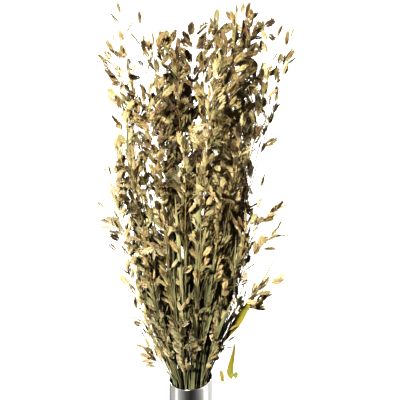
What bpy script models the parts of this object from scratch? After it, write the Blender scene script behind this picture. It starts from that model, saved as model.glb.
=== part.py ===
"""Dried northern sea oats standing in a plain metal vase.

Metres, +Z up. The origin is the middle of the vase's flat underside, and the side seen first faces -Y.
Each culm with its flat spikelets and its leaf blades grew as one piece, so each is one solid.
The culms fan out from the mouth without crossing: every rod of the bunch is laid only where it clears
the ones before it, and a piece that finds no free place turns a little or is left out.
"""

import math
import random
from typing import NamedTuple

import bmesh
import bpy
import numpy as np
from mathutils import Vector

# The vase
MOUTH_RADIUS = 0.045
BASE_RADIUS = 0.047
VASE_HEIGHT = 0.215
WALL = 0.0016
FLOOR = 0.007
LIP = 0.0024
FOOT_BEVEL = 0.003
RIM_RISE_X = 0.09
RIM_RISE_Y = 0.12
SLANT_STARTS = 0.150
VASE_STEPS = 32
RIM_CLEARANCE = 0.0015
THROAT = 0.0410

# The culms
CULM_FOOT_RADIUS = 0.0016
CULM_TIP_RADIUS = 0.0006
CULM_TAPER = 1.4
FOOT_GAP = 0.0006
FOOT_SHARE = 0.80
ELBOW_UP = 0.55
ELBOW_OUT = 0.41
MOUTH_REACH = 0.0375
HANDLES = (0.36, 0.72)
BOW_GROWTH = 1.4
FAN_BOW = 0.006
SPANS_ABOVE = 5
CULM_CLEARANCE = 0.0008
CULM_TRIES = 160
# How far a culm may give way to find a free place: its turn round the mouth, its reach and its head
TURN_PLAY = (0.15, 0.9)
REACH_PLAY = 0.5
HEAD_PLAY = 0.018

# The spikelets: a slender stalk, then a flat body with teeth down each side and a pointed end
BODY_LENGTH = 0.0275
BODY_HALF_WIDTH = 0.0062
BODY_HALF_DEPTH = 0.0018
STALK_LOW = 0.014
STALK_HIGH = 0.005
STALK_HALF_WIDTH = 0.0009
ROOT_SHARE = 0.35
ROOT_DEPTH_MOST = 0.0025
PANICLE_LENGTH = 0.205
PANICLE_SHARE = 0.80
SPIKELETS_PER_CULM = 6
SPIKELET_CLEARANCE = 0.0006
SPIKELET_TRIES = 14
OPENINGS = (38.0, 24.0)
OPENING_PLAY = 9.0
END_OPENING = (3.0, 10.0)
TILT_MOST = 0.9
TIP_BEND = 0.0022
SIDE_ROD_AT = 0.62
SIDE_ROD_ENDS = (0.20, 0.84)
SIDE_ROD_RADIUS = 0.0017
ROD_START = 0.004

# Along the body, across it: shares of its length and half width, from the stalk to the end
SIDE_OUTLINE = ((0.0, 0.0), (0.24, 0.86), (0.62, 1.06), (0.64, 0.60), (0.90, 0.62))
POLE_AT = 0.45

# The leaf blades
LEAF_THICKNESS = 0.0008
LEAF_SPANS = 5
LEAF_CLEARANCE = 0.0005
LEAF_TRIES = 40
LEAF_PLAY = 0.04
LEAF_ROD_RADIUS = 0.0011
LEAF_FOLD = 0.22

# The twigs: side branches that stand out from the bunch
TWIG_SPANS = 4
TWIG_FOOT_RADIUS = 0.0009
SPIKELETS_PER_TWIG = 3
TWIG_PANICLE_SHARE = 0.62
TWIG_PLAY = 0.02

# Where the culms' heads end: x, y, z, and how far the culm bows out between mouth and tip
PLACED_HEADS = (
    (-0.131, 0.000, 0.980, 0.004),
    (-0.091, -0.050, 0.962, 0.000),
    (-0.072, 0.040, 0.922, 0.004),
    (-0.054, 0.100, 0.922, 0.006),
    (-0.148, 0.020, 0.920, 0.008),
    (0.004, 0.060, 0.938, 0.003),
    (0.028, -0.020, 0.927, 0.002),
    (-0.025, 0.000, 0.900, -0.002),
    (0.051, 0.030, 0.952, 0.004),
    (0.086, -0.060, 0.964, 0.006),
    (0.108, 0.050, 0.957, 0.004),
    (0.117, 0.000, 0.953, 0.000),
    (0.068, -0.100, 0.920, 0.008),
    (0.153, 0.040, 0.948, 0.004),
    (0.166, -0.030, 0.938, -0.002),
    (0.193, 0.000, 0.934, -0.006),
    (0.187, 0.050, 0.866, -0.004),
    (-0.138, -0.020, 0.806, 0.010),
    (-0.160, 0.000, 0.670, 0.012),
    (-0.155, 0.050, 0.708, 0.010),
    (-0.155, -0.050, 0.642, 0.012),
    (-0.160, -0.020, 0.568, 0.010),
    (-0.143, 0.030, 0.496, 0.010),
    (-0.132, 0.000, 0.418, 0.008),
    (-0.108, -0.010, 0.328, 0.008),
    (0.146, 0.000, 0.650, 0.006),
    (0.130, -0.030, 0.560, 0.006),
    (0.124, 0.020, 0.520, 0.006),
    (0.114, -0.045, 0.470, 0.006),
    (0.112, 0.030, 0.414, 0.008),
    (0.024, -0.110, 0.640, 0.004),
    (-0.020, -0.112, 0.590, 0.004),
)
# More culms fill the front and the back by rule: how many, and the middle and width of their fan in degrees
FRONT_FAN = (12, -90.0, 124.0)
BACK_FAN = (8, 90.0, 150.0)
FAN_TOP = 0.895
FAN_BOTTOM = 0.405
# How far out the heads reach at a height
REACH = (
    (0.25, 0.050),
    (0.32, 0.080),
    (0.41, 0.108),
    (0.50, 0.128),
    (0.62, 0.142),
    (0.80, 0.146),
    (0.95, 0.160),
)
REACH_ACROSS = 0.86

# Twigs: the culm that bears it, how high up the culm it leaves, and where it ends
PLACED_TWIGS = (
    (25, 0.500, (0.189, 0.004, 0.600)),
    (26, 0.430, (0.186, -0.028, 0.566)),
    (28, 0.350, (0.182, -0.034, 0.462)),
    (29, 0.310, (0.168, 0.012, 0.404)),
    (18, 0.500, (-0.172, 0.004, 0.572)),
    (24, 0.246, (-0.096, -0.014, 0.280)),
)

# Leaf blades: the culm that bears it, how high up the culm it leaves, where it ends, and its half width
PLACED_LEAVES = (
    (30, 0.440, (0.013, -0.118, 0.704), 0.0046),
    (31, 0.410, (-0.026, -0.104, 0.634), 0.0040),
    (17, 0.640, (-0.112, -0.056, 0.764), 0.0028),
    (7, 0.560, (-0.044, -0.012, 0.740), 0.0034),
    (25, 0.400, (0.118, -0.020, 0.560), 0.0032),
)
# More blades hug the lower culms by rule: every so many culms, how high each leaves, and how long it is
LOW_LEAF_EVERY = 5
LOW_LEAF_FIRST = 2
LOW_LEAF_FROM = (0.225, 0.300)
LOW_LEAF_LENGTH = (0.110, 0.170)
LOW_LEAF_HALF_WIDTH = 0.0036
LOW_LEAF_OPENS = 0.014

# The one broad leaf that leans out to the right on its own stalk, with a small blade hanging from it
BROAD_LEAF_LINE = (
    (0.046, -0.012, 0.268),
    (0.058, -0.016, 0.292),
    (0.076, -0.020, 0.320),
    (0.096, -0.023, 0.352),
    (0.122, -0.026, 0.400),
    (0.146, -0.026, 0.444),
    (0.173, -0.022, 0.496),
    (0.198, -0.016, 0.544),
)
BROAD_LEAF_HALF_WIDTHS = (0.0013, 0.0022, 0.0062, 0.0098, 0.0060, 0.0026, 0.0011, 0.0007)
HANGING_THREAD = (
    (0.0870, -0.0214, 0.3376),
    (0.0925, -0.0275, 0.331),
    (0.0925, -0.0300, 0.316),
    (0.0885, -0.0305, 0.300),
)
HANGING_LEAF_LINE = (
    (0.0895, -0.0304, 0.306),
    (0.0870, -0.0310, 0.288),
    (0.0835, -0.0320, 0.268),
    (0.0805, -0.0330, 0.250),
    (0.0810, -0.0350, 0.241),
    (0.0870, -0.0370, 0.238),
)
HANGING_LEAF_HALF_WIDTHS = (0.0008, 0.0040, 0.0058, 0.0052, 0.0046, 0.0022)
THREAD_RADIUS = 0.0006
BROAD_LEAF_OWNER = 99
SEED = 4


class Spikelet(NamedTuple):
    """One spikelet: where it is rooted, the way it points, the way its flat side spreads, and its sizes."""

    root: np.ndarray
    axis: np.ndarray
    across: np.ndarray
    stalk: float
    size: float


def blend(a, b, share):
    """The value a share of the way from a to b."""
    return a + (b - a) * share


def unit(v):
    """The vector at length one."""
    return v / math.sqrt(float(v @ v))


def read_off(table, at):
    """A value read from a table of (place, value) pairs, straight between them."""
    return float(np.interp(at, [p for p, _ in table], [v for _, v in table]))


def rim_height(x, y):
    """How high the slanting rim is above the point (x, y)."""
    return VASE_HEIGHT + RIM_RISE_X * x + RIM_RISE_Y * y


def clears_vase(rods):
    """Whether rods stay over the rim or inside the mouth."""
    for start, end, radius in rods:
        for step in range(6):
            x, y, z = blend(start, end, step / 5)
            if z - radius < rim_height(x, y) + RIM_CLEARANCE and math.hypot(x, y) + radius > THROAT:
                return False
    return True


class Rods:
    """The straight rods that stand for what is laid so far, each with the culm it belongs to."""

    def __init__(self):
        self.starts = np.zeros((0, 3))
        self.ends = np.zeros((0, 3))
        self.radii = np.zeros(0)
        self.owners = np.zeros(0, int)

    def add(self, rods, owner):
        """Keeps rods given as (start, end, radius)."""
        self.starts = np.concatenate([self.starts, [r[0] for r in rods]])
        self.ends = np.concatenate([self.ends, [r[1] for r in rods]])
        self.radii = np.concatenate([self.radii, [r[2] for r in rods]])
        self.owners = np.concatenate([self.owners, [owner] * len(rods)])

    def gap(self, rods, leave_out=-1):
        """The least free distance from these rods to the kept ones, without those of one owner."""
        keep = self.owners != leave_out
        if not keep.any():
            return 1.0
        starts, radii = self.starts[keep], self.radii[keep]
        ways = self.ends[keep] - starts
        lengths = (ways * ways).sum(axis=1)
        least = 1.0
        for start, end, radius in rods:
            way = end - start
            off = start - starts
            length = way @ way
            along, across = off @ way, (ways * off).sum(axis=1)
            both = ways @ way
            spread = np.maximum(length * lengths - both * both, 1e-18)
            s = np.clip((both * across - along * lengths) / spread, 0.0, 1.0)
            t = np.clip((both * s + across) / lengths, 0.0, 1.0)
            s = np.clip((both * t - along) / length, 0.0, 1.0)
            apart = off + s[:, None] * way - t[:, None] * ways
            free = np.sqrt((apart * apart).sum(axis=1)) - radii - radius
            least = min(least, float(free.min()))
        return least


def culm_heads():
    """Where every culm's head ends, and its bow: the placed ones, then the front and back fans."""
    tips = list(PLACED_HEADS)
    step = 0
    for count, middle, width in (FRONT_FAN, BACK_FAN):
        for i in range(count):
            step += 1
            turn = (step * 0.618034) % 1.0
            height = blend(FAN_TOP, FAN_BOTTOM, (i + 0.5) / count)
            angle = math.radians(middle + (turn - 0.5) * width)
            reach = read_off(REACH, height)
            tips.append((math.cos(angle) * reach, math.sin(angle) * reach * REACH_ACROSS, height, FAN_BOW))
    return tips


def line_in_vase(angle, reach):
    """A culm's axis inside the vase: its foot over the floor, its elbow, and where it leaves the mouth."""
    x, y = math.cos(angle) * reach, math.sin(angle) * reach
    mouth = np.array([x, y, rim_height(x, y)])
    foot = np.array([x * FOOT_SHARE, y * FOOT_SHARE, FLOOR + FOOT_GAP])
    elbow = blend(foot, mouth, ELBOW_UP)
    elbow[:2] = mouth[:2] * blend(FOOT_SHARE, 1.0, ELBOW_OUT)
    return [foot, elbow, mouth]


def culm_line(head, bow, mouth_angle, mouth_reach):
    """A culm's axis from its foot on the vase's floor to its tip, one spikelet short of its head's end."""
    foot, elbow, mouth = line_in_vase(mouth_angle, mouth_reach)
    tip = head - unit(head - mouth) * (BODY_LENGTH + STALK_HIGH)
    way = tip - mouth
    outward = np.array([tip[0], tip[1], 0.0])
    outward = unit(outward) if outward @ outward > 1e-6 else np.array([1.0, 0.0, 0.0])
    first = mouth + way * HANDLES[0] + outward * bow
    second = mouth + way * HANDLES[1] + outward * bow * BOW_GROWTH
    points = [foot, elbow]
    for i in range(SPANS_ABOVE + 1):
        t = i / SPANS_ABOVE
        points.append(
            mouth * (1 - t) ** 3 + first * 3 * t * (1 - t) ** 2 + second * 3 * t * t * (1 - t) + tip * t**3
        )
    return points


def line_length(points):
    """The length of a line."""
    return sum(math.dist(points[i], points[i + 1]) for i in range(len(points) - 1))


def culm_radius(foot, share):
    """A culm's radius a share of the way up it."""
    return blend(foot, CULM_TIP_RADIUS, share**CULM_TAPER)


def culm_radii(points, foot=CULM_FOOT_RADIUS):
    """A culm's radius at each of its points, thinner upward."""
    whole = line_length(points)
    return [culm_radius(foot, line_length(points[: i + 1]) / whole) for i in range(len(points))]


def culm_rods(points):
    """The rods that stand for a culm."""
    radii = culm_radii(points)
    return [(points[i], points[i + 1], radii[i]) for i in range(len(points) - 1)]


def plan_culms(rods):
    """Lays every culm's axis clear of the others, the widest leaning ones at the edge of the mouth."""
    tips = culm_heads()
    leans = [math.hypot(x, y) / (z - VASE_HEIGHT + 0.05) for x, y, z, _ in tips]
    ranks = {k: place for place, k in enumerate(sorted(range(len(tips)), key=lambda k: leans[k]))}
    lines = {}
    for k in sorted(range(len(tips)), key=lambda k: -ranks[k]):
        x, y, z, bow = tips[k]
        rng = random.Random(f"culm {SEED} {k}")
        reach = MOUTH_REACH * math.sqrt((ranks[k] + 0.5) / len(tips))
        for attempt in range(CULM_TRIES):
            loose = attempt / CULM_TRIES
            angle = math.atan2(y, x) + rng.uniform(-1, 1) * (TURN_PLAY[0] + TURN_PLAY[1] * loose)
            out = min(MOUTH_REACH, reach * (1 + rng.uniform(-1, 0.3) * REACH_PLAY * loose))
            slack = HEAD_PLAY * loose
            tip = np.array([x + rng.uniform(-1, 1) * slack, y + rng.uniform(-1, 1) * slack, z])
            line = culm_line(tip, bow, angle, out)
            made = culm_rods(line)
            if clears_vase(made) and rods.gap(made) >= CULM_CLEARANCE:
                rods.add(made, k)
                lines[k] = line
                break
    return lines


def along(points, share):
    """The point and direction a share of the way along a line."""
    lengths = [math.dist(points[i], points[i + 1]) for i in range(len(points) - 1)]
    left = share * sum(lengths)
    for i, length in enumerate(lengths):
        if left <= length or i == len(lengths) - 1:
            return blend(points[i], points[i + 1], min(1.0, left / length)), unit(points[i + 1] - points[i])
        left -= length
    raise ValueError("the line has no length")


def side_vectors(direction, outward):
    """Two directions square to a line: the one most outward, and the one across it."""
    out = unit(outward - direction * float(outward @ direction))
    return out, np.cross(direction, out)


def outward_at(point):
    """The level direction away from the bunch's middle."""
    flat = np.array([point[0], point[1], 0.0])
    return unit(flat) if flat @ flat > 1e-8 else np.array([0.0, -1.0, 0.0])


def spikelet_rods(root, axis, across, stalk, body, half_width):
    """The rods that stand for one spikelet: its stalk, its middle and its two sides."""
    start = root + axis * ROD_START
    neck = root + axis * stalk
    end = neck + axis * body
    wide = across * half_width * SIDE_ROD_AT
    low, high = (neck + axis * body * share for share in SIDE_ROD_ENDS)
    return [
        (start, neck, STALK_HALF_WIDTH),
        (neck, end, BODY_HALF_DEPTH),
        (low + wide, high + wide, SIDE_ROD_RADIUS),
        (low - wide, high - wide, SIDE_ROD_RADIUS),
    ]


def plan_spikelet(rods, owner, points, foot, share, turn, size, stalk, rng):
    """Finds a free way for one spikelet to leave its culm, or None."""
    root, direction = along(points, share)
    radius = culm_radius(foot, share)
    out, side = side_vectors(direction, outward_at(root))
    for attempt in range(SPIKELET_TRIES):
        swing = attempt % (SPIKELET_TRIES // 2)
        angle = turn + swing * (0.9 if attempt % 2 else -0.9)
        opening = OPENINGS[attempt // (SPIKELET_TRIES // 2)]
        open_by = math.radians(opening + rng.uniform(-OPENING_PLAY, OPENING_PLAY))
        if share == 1.0:
            open_by = math.radians(rng.uniform(*END_OPENING) * (1 + 0.4 * attempt))
        away = out * math.cos(angle) + side * math.sin(angle)
        axis = unit(direction * math.cos(open_by) + away * math.sin(open_by))
        face, _ = side_vectors(axis, outward_at(root + axis * stalk))
        tilt = rng.uniform(-TILT_MOST, TILT_MOST)
        across = unit(np.cross(axis, face) * math.cos(tilt) + face * math.sin(tilt))
        body, half_width = BODY_LENGTH * size, BODY_HALF_WIDTH * size
        made = spikelet_rods(root, axis, across, stalk, body, half_width)
        if clears_vase(made) and rods.gap(made, owner) >= SPIKELET_CLEARANCE:
            rods.add(made, owner)
            depth = min(ROOT_DEPTH_MOST, ROOT_SHARE * radius / math.sin(open_by))
            return Spikelet(root - axis * depth, axis, across, stalk + depth, size)
    return None


def panicles(lines, twigs):
    """Every line that bears spikelets: its culm, points, foot radius, bearing share, and how many it bears."""
    made = []
    for k in sorted(lines):
        whole = line_length(lines[k])
        reach = min(PANICLE_LENGTH, PANICLE_SHARE * (whole - VASE_HEIGHT)) / whole
        made.append((k, lines[k], CULM_FOOT_RADIUS, reach, SPIKELETS_PER_CULM))
        made += [(k, line, TWIG_FOOT_RADIUS, TWIG_PANICLE_SHARE, SPIKELETS_PER_TWIG) for line in twigs[k]]
    return made


def plan_spikelets(rods, lines, twigs):
    """Lays the spikelets along each panicle, turned to alternate sides, with one at the end."""
    found = {k: [] for k in lines}
    for step in range(SPIKELETS_PER_CULM):
        for place, (k, points, foot, reach, count) in enumerate(panicles(lines, twigs)):
            if step >= count:
                continue
            rng = random.Random(f"spikelet {SEED} {place} {step}")
            high = 1.0 - step / (count - 1)
            share = 1.0 - reach * (1.0 - high)
            if step:
                share += rng.uniform(-0.3, 0.3) * reach / count
            turn = place * 2.4 + step * math.pi + rng.uniform(-0.5, 0.5)
            size = rng.uniform(0.86, 1.14) * (0.92 if step == 0 else 1.0)
            stalk = blend(STALK_LOW, STALK_HIGH, high) * rng.uniform(0.85, 1.15)
            made = plan_spikelet(rods, k, points, foot, share, turn, size, stalk, rng)
            if made:
                found[k].append(made)
    return found


def share_at_height(points, height):
    """How far along a rising line it reaches a height, as a share."""
    total = 0.0
    for i in range(len(points) - 1):
        low, high = points[i][2], points[i + 1][2]
        step = math.dist(points[i], points[i + 1])
        if high >= height:
            return (total + step * max(0.0, height - low) / (high - low)) / line_length(points)
        total += step
    return 1.0


def leaving_line(points, share, end, spans):
    """A line that leaves another at a share of its length, along it at first, and ends at a point."""
    root, direction = along(points, share)
    bend = root + direction * 0.5 * math.dist(root, end)
    made = []
    for i in range(spans + 1):
        t = i / spans
        made.append(root * (1 - t) ** 2 + bend * 2 * t * (1 - t) + end * t * t)
    return made


def leaf_half_width(share, half_width):
    """A leaf blade's half width along it: narrow at the sheath, widest past a third, drawn out to a point."""
    return half_width * max(0.12, math.sin(math.pi * min(1.0, share * 0.86 + 0.14) ** 0.8) ** 0.7)


def leaf_rods(middle, across, half_width):
    """The rods that stand for a leaf blade, from a little way above its root."""
    made = []
    for i in range(1, len(middle) - 1):
        wide = across * leaf_half_width((i + 0.5) / LEAF_SPANS, half_width) * 0.75
        for shift in (-wide, 0 * wide, wide):
            made.append((middle[i] + shift, middle[i + 1] + shift, LEAF_ROD_RADIUS))
    return made


def wanted_leaves(lines):
    """Every blade to lay: the placed ones, then the low ones that hug every few culms."""
    wanted = list(PLACED_LEAVES)
    for k in sorted(lines):
        if k % LOW_LEAF_EVERY == LOW_LEAF_FIRST:
            rng = random.Random(f"blade {SEED} {k}")
            low = rng.uniform(*LOW_LEAF_FROM)
            length = rng.uniform(*LOW_LEAF_LENGTH)
            share = share_at_height(lines[k], low) + length / line_length(lines[k])
            end, direction = along(lines[k], min(0.98, share))
            out, side = side_vectors(direction, outward_at(end))
            end = end + out * LOW_LEAF_OPENS + side * rng.uniform(-1, 1) * LOW_LEAF_OPENS
            wanted.append((k, low, end, LOW_LEAF_HALF_WIDTH))
    return wanted


def plan_leaves(rods, lines):
    """Lays the leaf blades on their culms where they clear what stands round them."""
    found = {k: [] for k in lines}
    for k, height, end, half_width in wanted_leaves(lines):
        rng = random.Random(f"leaf {SEED} {k} {height}")
        share = share_at_height(lines[k], height)
        root, direction = along(lines[k], share)
        for attempt in range(LEAF_TRIES):
            loose = LEAF_PLAY * attempt / LEAF_TRIES
            shift = np.array([rng.uniform(-1, 1), rng.uniform(-1, 0.4), 0.0]) * loose
            middle = leaving_line(lines[k], share, np.array(end) + shift, LEAF_SPANS)
            across = unit(np.cross(direction, middle[-1] - root))
            made = leaf_rods(middle, across, half_width)
            if clears_vase(made) and rods.gap(made, k) >= LEAF_CLEARANCE:
                rods.add(made, k)
                found[k].append((middle, across, half_width))
                break
    return found


def plan_twigs(rods, lines):
    """Lays the twigs on their culms."""
    found = {k: [] for k in lines}
    for k, height, end in PLACED_TWIGS:
        rng = random.Random(f"twig {SEED} {k}")
        share = share_at_height(lines[k], height)
        way = unit(np.array(end) - along(lines[k], share)[0])
        tip = np.array(end) - way * (BODY_LENGTH + STALK_HIGH)
        for attempt in range(LEAF_TRIES):
            loose = TWIG_PLAY * attempt / LEAF_TRIES
            shift = np.array([rng.uniform(-1, 1), rng.uniform(-1, 1), rng.uniform(-1, 1)]) * loose
            line = leaving_line(lines[k], share, tip + shift, TWIG_SPANS)
            made = [(line[i], line[i + 1], TWIG_FOOT_RADIUS) for i in range(1, TWIG_SPANS)]
            if clears_vase(made) and rods.gap(made, k) >= CULM_CLEARANCE:
                rods.add(made, k)
                found[k].append(line)
                break
    return found


def lay_broad_leaf(rods, owner):
    """Keeps the place of the broad leaf, its stalk and the small blade that hangs from it."""
    leaf = [np.array(p) for p in BROAD_LEAF_LINE]
    hanging = [np.array(p) for p in HANGING_LEAF_LINE]
    thread = [np.array(p) for p in HANGING_THREAD]
    head = leaf[0]
    inside = line_in_vase(math.atan2(head[1], head[0]), MOUTH_REACH)
    stalk = inside + [blend(inside[-1], head, 0.5), head, blend(leaf[0], leaf[1], 0.8)]
    made = culm_rods(stalk)
    for line, widths in ((leaf, BROAD_LEAF_HALF_WIDTHS), (hanging, HANGING_LEAF_HALF_WIDTHS)):
        for i in range(len(line) - 1):
            made.append((line[i], line[i + 1], max(widths[i], widths[i + 1])))
    made += [(thread[i], thread[i + 1], THREAD_RADIUS) for i in range(len(thread) - 1)]
    rods.add(made, owner)
    return stalk


def material(name, colour, roughness, metallic=0.0):
    """A plain surface for one kind of part."""
    made = bpy.data.materials.new(name)
    made.use_nodes = True
    shader = made.node_tree.nodes["Principled BSDF"]
    shader.inputs["Base Color"].default_value = (*colour, 1.0)
    shader.inputs["Roughness"].default_value = roughness
    shader.inputs["Metallic"].default_value = metallic
    return made


def link(obj, collection, surface=None):
    """Puts an object in a collection and gives it its surface."""
    collection.objects.link(obj)
    if surface:
        obj.data.materials.clear()
        obj.data.materials.append(surface)
    return obj


def mesh_object(name, bm):
    """A new object from a bmesh."""
    mesh = bpy.data.meshes.new(name)
    bm.to_mesh(mesh)
    bm.free()
    return bpy.data.objects.new(name, mesh)


def tube(name, points, radii):
    """A rod along a line as a closed mesh, from a curve with a bevel."""
    curve = bpy.data.curves.new(name, "CURVE")
    curve.dimensions = "3D"
    curve.bevel_depth = 1.0
    curve.bevel_resolution = 0
    curve.use_fill_caps = True
    spline = curve.splines.new("POLY")
    spline.points.add(len(points) - 1)
    for spot, point, radius in zip(spline.points, points, radii):
        spot.co = (*point, 1.0)
        spot.radius = radius
    rod = bpy.data.objects.new(name, curve)
    bpy.context.scene.collection.objects.link(rod)
    graph = bpy.context.evaluated_depsgraph_get()
    mesh = bpy.data.meshes.new_from_object(rod.evaluated_get(graph))
    bm = bmesh.new()
    bm.from_mesh(mesh)
    bmesh.ops.remove_doubles(bm, verts=bm.verts, dist=0.00002)
    bpy.data.objects.remove(rod)
    bpy.data.meshes.remove(mesh)
    return mesh_object(name, bm)


def spikelet_outline(size, stalk):
    """A spikelet's edge as (along, across) points, once round from the end of its body."""
    body, half_width = BODY_LENGTH * size, BODY_HALF_WIDTH * size
    side = [(stalk + body * s, max(STALK_HALF_WIDTH, half_width * w)) for s, w in SIDE_OUTLINE]
    return [(stalk + body, 0.0)] + side[::-1] + [(0.0, 0.0)] + [(s, -w) for s, w in side]


def spikelet_object(name, plan):
    """One flat spikelet with its stalk: a sphere of two rings whose equator takes the toothed outline."""
    outline = spikelet_outline(plan.size, plan.stalk)
    body = BODY_LENGTH * plan.size
    face = np.cross(plan.axis, plan.across)
    bm = bmesh.new()
    bmesh.ops.create_uvsphere(bm, u_segments=len(outline), v_segments=2, radius=1.0)
    equator = [v for v in bm.verts if abs(v.co.z) < 0.5]
    equator.sort(key=lambda v: math.atan2(v.co.y, v.co.x) % (2 * math.pi - 1e-6))
    poles = [v for v in bm.verts if abs(v.co.z) >= 0.5]
    for vert, (s, w) in zip(equator, outline):
        bend = TIP_BEND * max(0.0, (s - plan.stalk) / body) ** 2
        vert.co = Vector(plan.root + plan.axis * s + plan.across * w - face * bend)
    for vert in poles:
        depth = math.copysign(BODY_HALF_DEPTH * plan.size, vert.co.z)
        vert.co = Vector(plan.root + plan.axis * (plan.stalk + body * POLE_AT) + face * depth)
    return mesh_object(name, bm)


def leaf_object(name, middle, acrosses, half_widths):
    """A leaf blade as a thin closed mesh: a strip bent to its midline, folded a little along it."""
    bm = bmesh.new()
    spans = len(middle) - 1
    bmesh.ops.create_grid(bm, x_segments=2, y_segments=spans, size=1.0)
    for vert in bm.verts:
        column = round(vert.co.x)
        row = round((vert.co.y + 1.0) / 2.0 * spans)
        direction = unit(middle[min(row + 1, spans)] - middle[max(row - 1, 0)])
        fold = np.cross(acrosses[row], direction)
        wide = half_widths[row]
        vert.co = Vector(middle[row] + acrosses[row] * wide * column + fold * LEAF_FOLD * wide * abs(column))
    bmesh.ops.triangulate(bm, faces=bm.faces)
    made = mesh_object(name, bm)
    thicken = made.modifiers.new("thickness", "SOLIDIFY")
    thicken.thickness = LEAF_THICKNESS
    thicken.offset = 0.0
    return made


def applied(obj):
    """The object's evaluated mesh as its own, with no modifiers left."""
    bpy.context.view_layer.update()
    graph = bpy.context.evaluated_depsgraph_get()
    mesh = bpy.data.meshes.new_from_object(obj.evaluated_get(graph))
    old = obj.data
    obj.modifiers.clear()
    obj.data = mesh
    bpy.data.meshes.remove(old)
    return obj


def joined(obj, grown, collection, surface):
    """Fuses what grows from a culm into it with one union, and puts the result in the bunch."""
    workshop = bpy.data.collections.new(obj.name + "_grown")
    bpy.context.scene.collection.children.link(workshop)
    for piece in grown:
        workshop.objects.link(piece)
    link(obj, collection, surface)
    if grown:
        union = obj.modifiers.new("grown", "BOOLEAN")
        union.operation = "UNION"
        union.operand_type = "COLLECTION"
        union.collection = workshop
        for piece in grown:
            if piece.modifiers:
                applied(piece)
        applied(obj)
    for piece in grown:
        bpy.data.objects.remove(piece)
    bpy.data.collections.remove(workshop)
    obj.data.materials.clear()
    obj.data.materials.append(surface)
    return obj


def build_vase(collection):
    """The metal vase: one turned shell with a rolled lip, its rim cut on a slant."""
    inner_base, inner_mouth = BASE_RADIUS - WALL, MOUTH_RADIUS - LIP
    profile = [(0.0, FLOOR), (inner_base - 0.002, FLOOR), (inner_base, FLOOR + 0.002)]
    profile += [(MOUTH_RADIUS - WALL, VASE_HEIGHT - 2.2 * LIP), (inner_mouth, VASE_HEIGHT - 0.6 * LIP)]
    profile += [(MOUTH_RADIUS - 0.5 * LIP, VASE_HEIGHT), (MOUTH_RADIUS, VASE_HEIGHT - 0.6 * LIP)]
    profile += [(BASE_RADIUS, FOOT_BEVEL), (BASE_RADIUS - FOOT_BEVEL, 0.0), (0.0, 0.0)]
    bm = bmesh.new()
    verts = [bm.verts.new((r, 0.0, z)) for r, z in profile]
    for first, second in zip(verts, verts[1:]):
        bm.edges.new((first, second))
    vase = link(mesh_object("vase", bm), collection)
    turn = vase.modifiers.new("turned", "SCREW")
    turn.steps = turn.render_steps = VASE_STEPS
    turn.use_merge_vertices = True
    turn.merge_threshold = 0.0001
    applied(vase)
    for vert in vase.data.vertices:
        rise = max(0.0, (vert.co.z - SLANT_STARTS) / (VASE_HEIGHT - SLANT_STARTS))
        vert.co.z += (RIM_RISE_X * vert.co.x + RIM_RISE_Y * vert.co.y) * rise
    vase.data.shade_smooth()
    vase.data.set_sharp_from_angle(angle=math.radians(35))
    vase.data.materials.append(material("polished_steel", (0.62, 0.60, 0.58), 0.22, 1.0))
    return vase


def build_culm(name, points, twigs, spikelets, leaves, collection, surface):
    """One culm with everything that grows from it."""
    culm = tube(name, points, culm_radii(points))
    grown = [spikelet_object(f"{name}_spikelet_{i}", plan) for i, plan in enumerate(spikelets)]
    for i, line in enumerate(twigs):
        grown.append(tube(f"{name}_twig_{i}", line, culm_radii(line, TWIG_FOOT_RADIUS)))
    for i, (middle, across, half_width) in enumerate(leaves):
        widths = [leaf_half_width(j / LEAF_SPANS, half_width) for j in range(LEAF_SPANS + 1)]
        grown.append(leaf_object(f"{name}_blade_{i}", middle, [across] * len(middle), widths))
    return joined(culm, grown, collection, surface)


def build_broad_leaf(stalk, collection, surface):
    """The broad olive leaf on its stalk, with the small curled blade that hangs from it by a thread."""
    base = tube("broad_leaf", stalk, culm_radii(stalk))
    leaf = [np.array(p) for p in BROAD_LEAF_LINE]
    hanging = [np.array(p) for p in HANGING_LEAF_LINE]
    thread = [np.array(p) for p in HANGING_THREAD]
    twist = [unit(np.array([0.80, -0.30 + 0.02 * i, -0.50])) for i in range(len(leaf))]
    flat = [unit(np.array([1.0, -0.12, 0.08]))] * len(hanging)
    grown = [
        leaf_object("broad_leaf_blade", leaf, twist, BROAD_LEAF_HALF_WIDTHS),
        tube("broad_leaf_thread", thread, [THREAD_RADIUS] * len(thread)),
        leaf_object("broad_leaf_hanging", hanging, flat, HANGING_LEAF_HALF_WIDTHS),
    ]
    return joined(base, grown, collection, surface)


def main():
    """Clears the scene and builds the vase and the bunch."""
    for old in list(bpy.data.objects):
        bpy.data.objects.remove(old)
    bunch = bpy.data.collections.new("northern_sea_oats")
    bpy.context.scene.collection.children.link(bunch)
    straw = material("dried_straw", (0.36, 0.29, 0.15), 0.75)
    olive = material("olive_leaf", (0.30, 0.28, 0.05), 0.6)
    build_vase(bunch)
    rods = Rods()
    stalk = lay_broad_leaf(rods, BROAD_LEAF_OWNER)
    lines = plan_culms(rods)
    twigs = plan_twigs(rods, lines)
    leaves = plan_leaves(rods, lines)
    spikelets = plan_spikelets(rods, lines, twigs)
    for k in sorted(lines):
        build_culm(f"culm_{k:02d}", lines[k], twigs[k], spikelets[k], leaves[k], bunch, straw)
    build_broad_leaf(stalk, bunch, olive)


main()
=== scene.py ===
"""Dried northern sea oats standing in a plain polished steel vase.

Metres, +Z up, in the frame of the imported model: the origin is the middle of the vase's flat underside, and
the side seen first faces -Y. The culms are planned by the rules that laid their solids, so each stands where
its solid is, and more spikelets and blades then fill the places that the solids leave free.
"""

from __future__ import annotations

import logging
import math
import random
from dataclasses import dataclass, field
from enum import Enum
from typing import NamedTuple, Sequence, Union

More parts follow.
